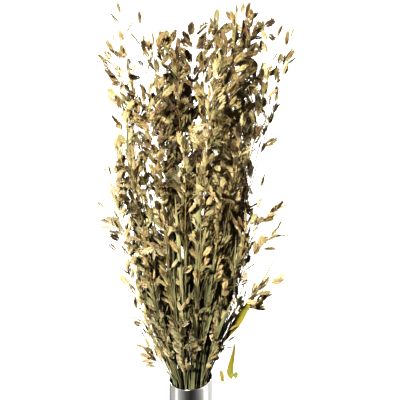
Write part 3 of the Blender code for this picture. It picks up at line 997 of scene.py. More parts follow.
@dataclass
class CulmPlan:
    """Lays every culm's axis clear of the others, fanning out from the mouth."""

    vase: Vase
    foot_radius: float = 0.0016
    tip_radius: float = 0.0006
    taper: float = 1.4
    foot_gap: float = 0.0006
    foot_share: float = 0.8
    elbow_up: float = 0.55
    elbow_out: float = 0.41
    mouth_reach: float = 0.0375
    handles: Pair = (0.36, 0.72)
    bow_growth: float = 1.4
    fan_bow: float = 0.006
    spans: int = 5
    clearance: float = 0.0008
    tries: int = 160
    turn_play: Pair = (0.15, 0.9)
    reach_play: float = 0.5
    head_play: float = 0.018
    head_room: float = 0.0325
    heads: tuple[Head, ...] = tuple(Head(*row) for row in (
        (-0.131, 0.0, 0.98, 0.004), (-0.091, -0.05, 0.962, 0.0), (-0.072, 0.04, 0.922, 0.004),
        (-0.054, 0.1, 0.922, 0.006), (-0.148, 0.02, 0.92, 0.008), (0.004, 0.06, 0.938, 0.003),
        (0.028, -0.02, 0.927, 0.002), (-0.025, 0.0, 0.9, -0.002), (0.051, 0.03, 0.952, 0.004),
        (0.086, -0.06, 0.964, 0.006), (0.108, 0.05, 0.957, 0.004), (0.117, 0.0, 0.953, 0.0),
        (0.068, -0.1, 0.92, 0.008), (0.153, 0.04, 0.948, 0.004), (0.166, -0.03, 0.938, -0.002),
        (0.193, 0.0, 0.934, -0.006), (0.187, 0.05, 0.866, -0.004), (-0.138, -0.02, 0.806, 0.01),
        (-0.16, 0.0, 0.67, 0.012), (-0.155, 0.05, 0.708, 0.01), (-0.155, -0.05, 0.642, 0.012),
        (-0.16, -0.02, 0.568, 0.01), (-0.143, 0.03, 0.496, 0.01), (-0.132, 0.0, 0.418, 0.008),
        (-0.108, -0.01, 0.328, 0.008), (0.146, 0.0, 0.65, 0.006), (0.13, -0.03, 0.56, 0.006),
        (0.124, 0.02, 0.52, 0.006), (0.114, -0.045, 0.47, 0.006), (0.112, 0.03, 0.414, 0.008),
        (0.024, -0.11, 0.64, 0.004), (-0.02, -0.112, 0.59, 0.004),
    ))
    fans: tuple[Fan, ...] = (Fan(12, -90.0, 124.0), Fan(8, 90.0, 150.0))
    fan_heights: Pair = (0.895, 0.405)
    reaches: Table = (
        (0.25, 0.05), (0.32, 0.08), (0.41, 0.108), (0.5, 0.128), (0.62, 0.142), (0.8, 0.146), (0.95, 0.16),
    )
    reach_across: float = 0.86
    courses: dict[int, Course] = field(default_factory=dict)
    lines: dict[int, list[Point]] = field(default_factory=dict)

    def all_heads(self) -> list[Head]:
        """Where every culm's head ends: the placed ones, then the fans.

        Returns:
            The heads, in the order of the culms' numbers.
        """
        made = list(self.heads)
        step = 0
        for fan in self.fans:
            for i in range(fan.count):
                step += 1
                turn = (step * 0.618034) % 1.0
                height = blend(*self.fan_heights, (i + 0.5) / fan.count)
                angle = math.radians(fan.middle + (turn - 0.5) * fan.width)
                reach = read_off(self.reaches, height)
                x, y = math.cos(angle) * reach, math.sin(angle) * reach * self.reach_across
                made.append(Head(x, y, height, self.fan_bow))
        return made

    def in_vase(self, angle: float, reach: float) -> list[Point]:
        """A culm's axis inside the vase.

        Args:
            angle: Which way it leans.
            reach: How far from the middle it leaves the mouth.

        Returns:
            Its foot, its elbow, and where it leaves the mouth.
        """
        x, y = math.cos(angle) * reach, math.sin(angle) * reach
        mouth = np.array([x, y, self.vase.rim_height(x, y)])
        foot = np.array([x * self.foot_share, y * self.foot_share, self.vase.floor + self.foot_gap])
        elbow = blend(foot, mouth, self.elbow_up)
        elbow[:2] = mouth[:2] * blend(self.foot_share, 1.0, self.elbow_out)
        return [foot, elbow, mouth]

    def run(self, course: Course, spans: int) -> list[Point]:
        """A culm's axis from its foot on the vase's floor to its tip.

        Args:
            course: How the culm runs.
            spans: Its spans above the mouth.

        Returns:
            The axis's points.
        """
        foot, elbow, mouth = self.in_vase(course.angle, course.reach)
        tip = course.head - unit(course.head - mouth) * self.head_room
        way = tip - mouth
        outward = np.array([tip[0], tip[1], 0.0])
        outward = unit(outward) if outward @ outward > 1e-6 else np.array([1.0, 0.0, 0.0])
        first = mouth + way * self.handles[0] + outward * course.bow
        second = mouth + way * self.handles[1] + outward * course.bow * self.bow_growth
        points = [foot, elbow]
        for i in range(spans + 1):
            t = i / spans
            points.append(
                mouth * (1 - t) ** 3 + first * 3 * t * (1 - t) ** 2 + second * 3 * t * t * (1 - t) + tip * t**3
            )
        return points

    def radius(self, foot: float, share: float) -> float:
        """A culm's radius a share of the way up it."""
        return blend(foot, self.tip_radius, share**self.taper)

    def rods(self, points: Line) -> list[Rod]:
        """The rods that stand for a culm."""
        spans = zip(points, points[1:], line_shares(points))
        return [(start, end, self.radius(self.foot_radius, share)) for start, end, share in spans]

    def lay(self, rods: RodField) -> None:
        """Lays the culms, the widest leaning ones at the edge of the mouth.

        Args:
            rods: The field that keeps their places.
        """
        tips = self.all_heads()
        leans = [math.hypot(h.x, h.y) / (h.z - self.vase.height + 0.05) for h in tips]
        ranks = {k: place for place, k in enumerate(sorted(range(len(tips)), key=lambda k: leans[k]))}
        for k in sorted(range(len(tips)), key=lambda k: -ranks[k]):
            head = tips[k]
            rng = random.Random(f"culm {SEED} {k}")
            reach = self.mouth_reach * math.sqrt((ranks[k] + 0.5) / len(tips))
            for attempt in range(self.tries):
                loose = attempt / self.tries
                turn = self.turn_play[0] + self.turn_play[1] * loose
                angle = math.atan2(head.y, head.x) + rng.uniform(-1, 1) * turn
                out = min(self.mouth_reach, reach * (1 + rng.uniform(-1, 0.3) * self.reach_play * loose))
                slack = self.head_play * loose
                tip = np.array([head.x + rng.uniform(-1, 1) * slack, head.y + rng.uniform(-1, 1) * slack, head.z])
                course = Course(tip, head.bow, angle, out)
                line = self.run(course, self.spans)
                made = self.rods(line)
                if self.vase.clears(made) and rods.gap(made) >= self.clearance:
                    rods.add(made, k)
                    self.courses[k], self.lines[k] = course, line
                    break


class Twig(NamedTuple):
    """A side branch: the culm that bears it, how high up the culm it leaves, and where it ends."""

    culm: int
    height: float
    end: Triple


class Blade(NamedTuple):
    """A leaf blade: the culm that bears it, how high up it leaves, where it ends, and its half width."""

    culm: int
    height: float
    end: Triple
    half_width: float


class LaidBlade(NamedTuple):
    """A leaf blade in its place."""

    share: float
    end: Point
    across: Point
    half_width: float


class Husk(NamedTuple):
    """One spikelet in its place: its root on the stem, the way it points and spreads, and its sizes."""

    root: Point
    axis: Point
    across: Point
    stalk: float
    size: float


@dataclass(frozen=True)
class Room:
    """Where the bunch is dense: how far it reaches to each side at each height, and how many spikelets it holds."""

    left: Table = (
        (0.2, -0.045), (0.25, -0.056), (0.3, -0.066), (0.36, -0.08), (0.41, -0.098), (0.52, -0.114),
        (0.57, -0.12), (0.62, -0.14), (0.68, -0.142), (0.76, -0.132), (0.81, -0.122), (0.87, -0.11),
        (0.885, -0.06), (0.91, 0.0), (0.94, 0.028), (0.97, 0.06),
    )
    right: Table = (
        (0.2, 0.05), (0.25, 0.056), (0.3, 0.06), (0.34, 0.066), (0.39, 0.076), (0.45, 0.088),
        (0.52, 0.104), (0.62, 0.112), (0.76, 0.122), (0.81, 0.138), (0.87, 0.146), (0.91, 0.14),
        (0.94, 0.128), (0.97, 0.112),
    )
    front_fullness: Table = (
        (0.22, 0.34), (0.28, 0.66), (0.34, 0.84), (0.44, 0.8), (0.52, 0.7), (0.6, 0.84), (0.68, 1.0),
    )
    open_heart: Table = ((-0.054, 1.0), (-0.038, 0.1), (0.03, 0.1), (0.05, 0.9))
    heart_heights: Pair = (0.36, 0.645)
    heart_until: float = 0.02
    back_fullness: Table = ((0.22, 0.5), (0.3, 0.9), (0.42, 1.0))
    front_until: float = -0.015
    left_strays: Table = (
        (0.25, 0.01), (0.59, 0.03), (0.63, 0.2), (0.72, 0.4), (0.84, 0.62), (0.92, 0.6), (0.945, 0.12),
    )
    right_strays: Table = ((0.25, 0.02), (0.6, 0.07), (0.84, 0.1), (0.88, 0.36), (0.95, 0.22))
    thin_sides: Table = (
        (-0.1, 0.85), (-0.08, 0.52), (-0.052, 0.46), (-0.034, 0.84), (-0.02, 1.0), (0.095, 1.0), (0.115, 0.42),
    )
    valley: Table = (
        (-0.13, 0.9), (-0.1, 0.55), (-0.085, 0.24), (-0.045, 0.2), (-0.03, 0.46), (-0.008, 0.4),
        (0.003, 0.14), (0.016, 0.14), (0.036, 0.45), (0.048, 1.0),
    )
    valley_from: float = 0.838

    def shelters(self, point: Point, edge: float) -> bool:
        """Whether a point is inside the dense part, some way in from its edge."""
        return read_off(self.left, point[2]) + edge <= point[0] <= read_off(self.right, point[2]) - edge

    def holds(self, point: Point, draw: float) -> bool:
        """Whether a spikelet may end at a point.

        Args:
            point: Where it ends.
            draw: Its random number from 0 to 1.

        Returns:
            Whether the number is under the share of spikelets that the place holds.
        """
        x, y, z = point
        if x < read_off(self.left, z):
            return draw < read_off(self.left_strays, z)
        if x > read_off(self.right, z):
            return draw < read_off(self.right_strays, z)
        share = read_off(self.front_fullness if y < self.front_until else self.back_fullness, z)
        share *= read_off(self.thin_sides, x)
        if y < self.heart_until and self.heart_heights[0] < z < self.heart_heights[1]:
            share *= read_off(self.open_heart, x)
        if z > self.valley_from:
            share *= read_off(self.valley, x)
        return draw < share


@dataclass(frozen=True)
class Posture:
    """How spikelets stand at one level: their least and most opening, stalk length and size."""

    openings: Pair
    stalks: Pair
    sizes: Pair

    def toward(self, other: Posture, share: float) -> Posture:
        """The posture a share of the way to another."""
        pairs = zip((self.openings, self.stalks, self.sizes), (other.openings, other.stalks, other.sizes))
        return Posture(*((blend(a[0], b[0], share), blend(a[1], b[1], share)) for a, b in pairs))


class Bearer(NamedTuple):
    """A line that bears spikelets: its culm, points, bearing share, and how many it bears."""

    culm: int
    points: list[Point]
    reach: float
    count: int


@dataclass
class GrowthPlan:
    """Lays twigs, blades and spikelets on the culms, each where it clears what is laid already."""

    culms: CulmPlan
    rods: RodField
    low: Point
    high: Point
    body_length: float = 0.0275
    body_half_width: float = 0.0062
    body_half_depth: float = 0.0018
    stalk_low: float = 0.014
    stalk_high: float = 0.005
    stalk_half_width: float = 0.0009
    panicle_length: float = 0.205
    panicle_share: float = 0.8
    per_culm: int = 6
    per_twig: int = 3
    clearance: float = 0.0006
    tries: int = 14
    openings: Pair = (38.0, 24.0)
    opening_play: float = 9.0
    end_opening: Pair = (3.0, 10.0)
    tilt_most: float = 0.9
    side_at: float = 0.62
    side_ends: Pair = (0.2, 0.84)
    side_radius: float = 0.0017
    rod_start: float = 0.004
    blade_spans: int = 5
    blade_clearance: float = 0.0005
    blade_tries: int = 40
    blade_play: float = 0.04
    blade_rod: float = 0.0011
    twig_spans: int = 4
    twig_radius: float = 0.0009
    twig_share: float = 0.62
    twig_play: float = 0.02
    placed_twigs: tuple[Twig, ...] = (
        Twig(25, 0.5, (0.189, 0.004, 0.6)), Twig(26, 0.43, (0.186, -0.028, 0.566)),
        Twig(28, 0.35, (0.182, -0.034, 0.462)), Twig(29, 0.31, (0.168, 0.012, 0.404)),
        Twig(18, 0.5, (-0.172, 0.004, 0.572)), Twig(24, 0.246, (-0.096, -0.014, 0.28)),
    )
    placed_blades: tuple[Blade, ...] = (
        Blade(30, 0.44, (0.013, -0.118, 0.704), 0.0046), Blade(31, 0.41, (-0.026, -0.104, 0.634), 0.004),
        Blade(17, 0.64, (-0.112, -0.056, 0.764), 0.0028), Blade(7, 0.56, (-0.044, -0.012, 0.74), 0.0034),
        Blade(25, 0.4, (0.118, -0.02, 0.56), 0.0032),
    )
    low_blade_every: int = 5
    low_blade_first: int = 2
    low_blade_from: Pair = (0.225, 0.3)
    low_blade_length: Pair = (0.11, 0.17)
    low_blade_half_width: float = 0.0036
    low_blade_opens: float = 0.014
    fill_per_culm: int = 98
    fill_per_twig: int = 10
    plume_more: float = 1.5
    back_more: float = 1.4
    back_until: float = 0.09
    plume_from: Pair = (-0.07, 0.84)
    fill_length: float = 0.58
    fill_tries: int = 10
    fill_clearance: Pair = (-0.0004, -0.0026)
    fill_face: float = 0.5
    fill_lean: float = 0.32
    fill_droop: float = 0.08
    fill_tilt: float = 0.62
    droops: Pair = (75.0, 125.0)
    low_posture: Posture = Posture((8.0, 40.0), (0.002, 0.014), (0.7, 1.04))
    high_posture: Posture = Posture((12.0, 60.0), (0.004, 0.034), (0.76, 1.14))
    twig_posture: Posture = Posture((12.0, 42.0), (0.002, 0.009), (0.86, 1.14))
    posture_heights: Pair = (0.4, 0.66)
    sizes_back: Table = ((-0.03, 0.96), (0.03, 1.08))
    strand_turns: int = 15
    strand_tries: int = 8
    strand_from: Pair = (0.165, 0.25)
    strand_rise: float = 0.015
    strand_lengths: Pair = (0.08, 0.24)
    strand_half_widths: Pair = (0.0006, 0.002)
    wide_strands: Pair = (0.0026, 0.004)
    wide_share: float = 0.12
    strand_opens: Pair = (0.003, 0.024)
    strand_clearance: float = -0.0024
    strand_edge: float = 0.004
    fill_margin: float = 0.006
    room: Room = Room()
    twigs: dict[int, list[list[Point]]] = field(default_factory=dict)
    blades: dict[int, list[LaidBlade]] = field(default_factory=dict)
    husks: dict[int, list[Husk]] = field(default_factory=dict)
    strands: dict[int, list[LaidBlade]] = field(default_factory=dict)

    def lay(self) -> None:
        """Lays everything in the order that the solids were laid in, then fills up."""
        self.lay_twigs()
        self.lay_blades()
        self.lay_husks()
        self.lay_strands()
        self.fill_husks()

    def lay_twigs(self) -> None:
        """Lays the side branches."""
        lines = self.culms.lines
        self.twigs = {k: [] for k in lines}
        for k, height, end in self.placed_twigs:
            rng = random.Random(f"twig {SEED} {k}")
            share = share_at_height(lines[k], height)
            way = unit(np.array(end) - along(lines[k], share)[0])
            tip = np.array(end) - way * self.culms.head_room
            for attempt in range(self.blade_tries):
                loose = self.twig_play * attempt / self.blade_tries
                shift = np.array([rng.uniform(-1, 1) for _ in range(3)]) * loose
                line = leaving_line(lines[k], share, tip + shift, self.twig_spans)
                made = [(line[i], line[i + 1], self.twig_radius) for i in range(1, self.twig_spans)]
                if self.culms.vase.clears(made) and self.rods.gap(made, k) >= self.culms.clearance:
                    self.rods.add(made, k)
                    self.twigs[k].append(line)
                    break

    def wanted_blades(self) -> list[Blade]:
        """Every blade to lay: the placed ones, then the low ones that hug every few culms.

        Returns:
            The blades, in the order they are laid.
        """
        lines = self.culms.lines
        wanted = list(self.placed_blades)
        for k in sorted(lines):
            if k % self.low_blade_every == self.low_blade_first:
                rng = random.Random(f"blade {SEED} {k}")
                low = rng.uniform(*self.low_blade_from)
                length = rng.uniform(*self.low_blade_length)
                share = share_at_height(lines[k], low) + length / line_length(lines[k])
                end, direction = along(lines[k], min(0.98, share))
                out, side = side_vectors(direction, outward_at(end))
                end = end + out * self.low_blade_opens + side * rng.uniform(-1, 1) * self.low_blade_opens
                wanted.append(Blade(k, low, end, self.low_blade_half_width))
        return wanted

    @staticmethod
    def blade_width(share: float, half_width: float) -> float:
        """A blade's half width along it: narrow at the sheath, widest past a third, drawn out to a point."""
        return half_width * max(0.12, math.sin(math.pi * min(1.0, share * 0.86 + 0.14) ** 0.8) ** 0.7)

    def blade_rods(self, middle: Line, across: Point, half_width: float) -> list[Rod]:
        """The rods that stand for a blade, from a little way above its root.

        Args:
            middle: The points of its midrib.
            across: The direction across it.
            half_width: Its greatest half width.

        Returns:
            The rods.
        """
        made = []
        for i in range(1, len(middle) - 1):
            wide = across * self.blade_width((i + 0.5) / self.blade_spans, half_width) * 0.75
            for shift in (-wide, 0 * wide, wide):
                made.append((middle[i] + shift, middle[i + 1] + shift, self.blade_rod))
        return made

    def lay_blades(self) -> None:
        """Lays the leaf blades."""
        lines = self.culms.lines
        self.blades = {k: [] for k in lines}
        for k, height, end, half_width in self.wanted_blades():
            rng = random.Random(f"leaf {SEED} {k} {height}")
            share = share_at_height(lines[k], height)
            root, direction = along(lines[k], share)
            for attempt in range(self.blade_tries):
                loose = self.blade_play * attempt / self.blade_tries
                shift = np.array([rng.uniform(-1, 1), rng.uniform(-1, 0.4), 0.0]) * loose
                middle = leaving_line(lines[k], share, np.array(end) + shift, self.blade_spans)
                across = unit(np.cross(direction, middle[-1] - root))
                made = self.blade_rods(middle, across, half_width)
                if self.culms.vase.clears(made) and self.rods.gap(made, k) >= self.blade_clearance:
                    self.rods.add(made, k)
                    self.blades[k].append(LaidBlade(share, middle[-1], across, half_width))
                    break

    def husk_rods(self, root: Point, axis: Point, across: Point, stalk: float, size: float) -> list[Rod]:
        """The rods that stand for one spikelet.

        Args:
            root: Where its stalk leaves the stem.
            axis: The way it points.
            across: The way it spreads.
            stalk: Its stalk's length.
            size: Its relative size.

        Returns:
            Its stalk, its middle and its two sides.
        """
        body, half_width = self.body_length * size, self.body_half_width * size
        start = root + axis * self.rod_start
        neck = root + axis * stalk
        end = neck + axis * body
        wide = across * half_width * self.side_at
        low, high = (neck + axis * body * share for share in self.side_ends)
        return [
            (start, neck, self.stalk_half_width),
            (neck, end, self.body_half_depth),
            (low + wide, high + wide, self.side_radius),
            (low - wide, high - wide, self.side_radius),
        ]

    def bearers(self) -> list[Bearer]:
        """Every line that bears spikelets.

        Returns:
            Each culm and, after it, its side branches.
        """
        made = []
        lines = self.culms.lines
        for k in sorted(lines):
            whole = line_length(lines[k])
            reach = min(self.panicle_length, self.panicle_share * (whole - self.culms.vase.height)) / whole
            made.append(Bearer(k, lines[k], reach, self.per_culm))
            made += [Bearer(k, line, self.twig_share, self.per_twig) for line in self.twigs[k]]
        return made

    def lay_husk(self, bearer: Bearer, share: float, turn: float, size: float, stalk: float,
                 rng: random.Random) -> Husk | None:
        """Finds a free way for one spikelet to leave its stem.

        Args:
            bearer: The line that bears it.
            share: Where on the line it leaves.
            turn: Which way round the line it leaves first.
            size: Its relative size.
            stalk: Its stalk's length.
            rng: Its random draws.

        Returns:
            The spikelet, or None where nothing is free.
        """
        root, direction = along(bearer.points, share)
        out, side = side_vectors(direction, outward_at(root))
        for attempt in range(self.tries):
            swing = attempt % (self.tries // 2)
            angle = turn + swing * (0.9 if attempt % 2 else -0.9)
            opening = self.openings[attempt // (self.tries // 2)]
            open_by = math.radians(opening + rng.uniform(-self.opening_play, self.opening_play))
            if share == 1.0:
                open_by = math.radians(rng.uniform(*self.end_opening) * (1 + 0.4 * attempt))
            away = out * math.cos(angle) + side * math.sin(angle)
            axis = unit(direction * math.cos(open_by) + away * math.sin(open_by))
            face, _ = side_vectors(axis, outward_at(root + axis * stalk))
            tilt = rng.uniform(-self.tilt_most, self.tilt_most)
            across = unit(np.cross(axis, face) * math.cos(tilt) + face * math.sin(tilt))
            made = self.husk_rods(root, axis, across, stalk, size)
            if self.culms.vase.clears(made) and self.rods.gap(made, bearer.culm) >= self.clearance:
                self.rods.add(made, bearer.culm)
                return Husk(root, axis, across, stalk, size)
        return None

    def lay_husks(self) -> None:
        """Lays the spikelets that the solids have, on alternate sides, with one at each end."""
        self.husks = {k: [] for k in self.culms.lines}
        for step in range(self.per_culm):
            for place, bearer in enumerate(self.bearers()):
                if step >= bearer.count:
                    continue
                rng = random.Random(f"spikelet {SEED} {place} {step}")
                high = 1.0 - step / (bearer.count - 1)
                share = 1.0 - bearer.reach * (1.0 - high)
                if step:
                    share += rng.uniform(-0.3, 0.3) * bearer.reach / bearer.count
                turn = place * 2.4 + step * math.pi + rng.uniform(-0.5, 0.5)
                size = rng.uniform(0.86, 1.14) * (0.92 if step == 0 else 1.0)
                stalk = blend(self.stalk_low, self.stalk_high, high) * rng.uniform(0.85, 1.15)
                made = self.lay_husk(bearer, share, turn, size, stalk, rng)
                if made:
                    self.husks[bearer.culm].append(made)

    def lay_strands(self) -> None:
        """Lays narrow old blades that hug the culms round the mouth, on every culm."""
        lines = self.culms.lines
        self.strands = {k: [] for k in lines}
        for turn in range(self.strand_turns):
            for k in sorted(lines):
                rng = random.Random(f"strand {SEED} {k} {turn}")
                low = rng.uniform(*self.strand_from) + self.strand_rise * turn
                length = rng.uniform(*self.strand_lengths)
                share = share_at_height(lines[k], low)
                reach = min(0.97, share + length / line_length(lines[k]))
                wide = rng.random() < self.wide_share
                half_width = rng.uniform(*(self.wide_strands if wide else self.strand_half_widths))
                for _ in range(self.strand_tries):
                    end, direction = along(lines[k], reach)
                    out, side = side_vectors(direction, outward_at(end))
                    angle = rng.uniform(0, math.tau)
                    opens = rng.uniform(*self.strand_opens)
                    end = end + (out * math.cos(angle) + side * math.sin(angle)) * opens
                    if not self.room.shelters(end, self.strand_edge):
                        continue
                    middle = leaving_line(lines[k], share, end, self.blade_spans)
                    across = unit(np.cross(direction, middle[-1] - middle[0]))
                    made = self.blade_rods(middle, across, half_width)
                    if self.culms.vase.clears(made) and self.rods.gap(made, k) >= self.strand_clearance:
                        self.rods.add(made, k)
                        self.strands[k].append(LaidBlade(share, end, across, half_width))
                        break

    def inside(self, rods: Sequence[Rod]) -> bool:
        """Whether rods stay inside the room that the solids span, with a little over."""
        points = np.array([point for start, end, _ in rods for point in (start, end)])
        return bool((points >= self.low - self.fill_margin).all() and (points <= self.high + self.fill_margin).all())

    def fill_count(self, bearer: Bearer) -> int:
        """How many more spikelets a line may bear: more in the plume at the top, and more at the back.

        Args:
            bearer: The line.

        Returns:
            The number.
        """
        if bearer.count == self.per_twig:
            return self.fill_per_twig
        tip = bearer.points[-1]
        plume = tip[0] > self.plume_from[0] and tip[2] > self.plume_from[1]
        made = self.fill_per_culm * (self.plume_more if plume else 1.0)
        return round(made * (self.back_more if tip[1] > 0.0 and abs(tip[0]) < self.back_until else 1.0))

    def fill_husks(self) -> None:
        """Lays more spikelets between the others, packed as closely as in a real bunch."""
        bearers = self.bearers()
        counts = [self.fill_count(bearer) for bearer in bearers]
        for step in range(max(counts)):
            for place, (bearer, count) in enumerate(zip(bearers, counts)):
                if step >= count:
                    continue
                rng = random.Random(f"fill {SEED} {place} {step}")
                whole = line_length(bearer.points)
                reach = bearer.reach
                if bearer.count != self.per_twig:
                    reach = min(self.fill_length, 0.86 * (whole - self.culms.vase.height)) / whole
                order = (step * 0.618034) % 1.0
                share = 1.0 - reach * (order * count + rng.uniform(0.0, 1.0)) / (count + 1)
                self.fill_husk(bearer, share, place, step, rng)

    def fill_husk(self, bearer: Bearer, share: float, place: int, step: int, rng: random.Random) -> None:
        """Finds a way for one more spikelet, with less and less room asked for.

        Args:
            bearer: The line that bears it.
            share: Where on the line it leaves.
            place: The line's number.
            step: The spikelet's number on its line.
            rng: Its random draws.
        """
        root, direction = along(bearer.points, share)
        out, side = side_vectors(direction, outward_at(root))
        low, high = self.posture_heights
        risen = min(1.0, max(0.0, (root[2] - low) / (high - low)))
        twig = bearer.count == self.per_twig
        posture = self.twig_posture if twig else self.low_posture.toward(self.high_posture, risen)
        size = rng.uniform(*posture.sizes) * (1.0 if twig else read_off(self.sizes_back, root[1]))
        draw = rng.random()
        leans = rng.random() < self.fill_lean
        droops = rng.random() < self.fill_droop * risen
        for attempt in range(self.fill_tries):
            angle = place * 1.7 + step * 2.4 + attempt * 0.9 + rng.uniform(-0.4, 0.4)
            if leans:
                angle = place * 2.4 + rng.uniform(-1.1, 1.1)
            open_by = math.radians(rng.uniform(*posture.openings))
            if droops:
                open_by = math.radians(rng.uniform(*self.droops))
            stalk = rng.uniform(*posture.stalks)
            away = out * math.cos(angle) + side * math.sin(angle)
            axis = unit(direction * math.cos(open_by) + away * math.sin(open_by))
            toward = outward_at(root + axis * stalk) * self.fill_face - np.array([0.0, 1.0, 0.0])
            face, _ = side_vectors(axis, toward)
            tilt = rng.uniform(-self.fill_tilt, self.fill_tilt)
            across = unit(np.cross(axis, face) * math.cos(tilt) + face * math.sin(tilt))
            made = self.husk_rods(root, axis, across, stalk, size)
            asked = blend(*self.fill_clearance, attempt / self.fill_tries)
            if not (twig or self.room.holds(made[1][1], draw)):
                continue
            if self.culms.vase.clears(made) and self.inside(made) and self.rods.gap(made[1:], bearer.culm) >= asked:
                self.rods.add(made, bearer.culm)
                self.husks[bearer.culm].append(Husk(root, axis, across, stalk, size))
                return


class Habit(Enum):
    """How far a spikelet's scales opened as it dried."""

    CLOSED = "closed"
    PLUMP = "plump"
    OPEN = "open"
    SPLAYED = "splayed"


@dataclass(frozen=True)
class HabitShape:
    """The numbers behind a habit: how far scales lean out, how wide they are, and how far tips curl."""

    lean: float
    width: float
    curl: float
    share: float


@dataclass(frozen=True)
class Scale:
    """One scale of a spikelet, in shares of the spikelet's length: where it starts, and its sizes."""

    side: int
    base: float
    length: float
    lean: float
    width: float
    corners: int


@dataclass
class HuskStock:
    """The spikelet shapes: two ranks of keeled scales that overlap and end in spreading points."""

    depth: float = 0.04
    each: int = 3
    shapes: dict[Habit, HabitShape] = field(default_factory=lambda: {
        Habit.CLOSED: HabitShape(0.55, 0.85, 0.0, 0.22),
        Habit.PLUMP: HabitShape(0.9, 1.1, 0.0, 0.36),
        Habit.OPEN: HabitShape(1.12, 1.06, 0.02, 0.3),
        Habit.SPLAYED: HabitShape(1.38, 0.95, 0.05, 0.12),
    })
    scales: tuple[Scale, ...] = (
        Scale(-1, 0.0, 0.36, 18.0, 0.15, 4), Scale(1, 0.04, 0.39, 19.0, 0.155, 4),
        Scale(-1, 0.1, 0.47, 20.0, 0.215, 5), Scale(1, 0.2, 0.47, 20.0, 0.22, 5),
        Scale(-1, 0.31, 0.47, 17.0, 0.215, 5), Scale(1, 0.41, 0.46, 14.0, 0.195, 5),
        Scale(-1, 0.51, 0.45, 9.0, 0.165, 4), Scale(1, 0.6, 0.42, 1.0, 0.13, 4),
    )
    outlines: dict[int, tuple[Pair, ...]] = field(default_factory=lambda: {
        4: ((1.0, 0.12), (0.42, 0.52), (0.0, 0.0), (0.45, -0.45)),
        5: ((1.0, 0.14), (0.6, 0.38), (0.22, 0.46), (0.0, 0.0), (0.52, -0.5)),
    })

    def make(self, habit: Habit, number: int) -> Stock:
        """Makes one spikelet shape of a habit.

        Args:
            habit: How far the scales opened.
            number: Which of the habit's shapes it is.

        Returns:
            The stock: x across, y through its thickness, z along, one unit long.
        """
        rng = random.Random(f"stock {habit.value} {number}")
        shape = self.shapes[habit]
        bm = bmesh.new()
        growth = []
        for scale in self.scales:
            made = bmesh.ops.create_uvsphere(bm, u_segments=scale.corners, v_segments=2, radius=1.0)["verts"]
            lean = math.radians(scale.lean * shape.lean * rng.uniform(0.8, 1.2))
            tip_out = shape.curl * rng.uniform(0.4, 1.4) + rng.uniform(-0.015, 0.015)
            length = scale.length * rng.uniform(0.92, 1.05)
            width = scale.width * shape.width * rng.uniform(0.9, 1.1)
            way = np.array([scale.side * math.sin(lean), 0.0, math.cos(lean)])
            out = np.array([scale.side * math.cos(lean), 0.0, -math.sin(lean)])
            through = np.cross(way, out)
            start = np.array([scale.side * 0.018, scale.side * 0.01 + rng.uniform(-0.006, 0.006), scale.base])
            dodge = rng.uniform(-0.03, 0.03)
            ripple = rng.random()
            equator = sorted((v for v in made if abs(v.co.z) < 0.5),
                             key=lambda v: math.atan2(v.co.y, v.co.x) % (math.tau - 1e-6))
            values = {}
            for vert, (u, v) in zip(equator, self.outlines[scale.corners]):
                curl = out * tip_out * u * u + np.array([0.0, dodge * u * u, 0.0])
                vert.co = Vector(start + way * u * length + out * v * width + curl)
                values[vert] = (0.0, u, v + 0.5, ripple)
            for vert in made:
                if abs(vert.co.z) >= 0.5 and vert not in values:
                    thick = math.copysign(self.depth, vert.co.z)
                    bow = np.array([0.0, dodge * 0.17, 0.0])
                    vert.co = Vector(start + way * 0.42 * length + out * 0.1 * width + through * thick + bow)
                    values[vert] = (0.0, 0.42, 0.6, ripple)
            growth += [(vert.index, values[vert]) for vert in made]
        bm.verts.index_update()
        bm.verts.ensure_lookup_table()
        listed = np.array([value for _, value in growth], float)
        return Stock.kept(f"husk_{habit.value}_{number}", bm, listed)

    def make_all(self) -> tuple[list[Stock], list[float]]:
        """Makes every spikelet shape, with how often each is picked."""
        numbered = [(habit, number) for habit in self.shapes for number in range(self.each)]
        return [self.make(*pair) for pair in numbered], [self.shapes[habit].share / self.each for habit, _ in numbered]


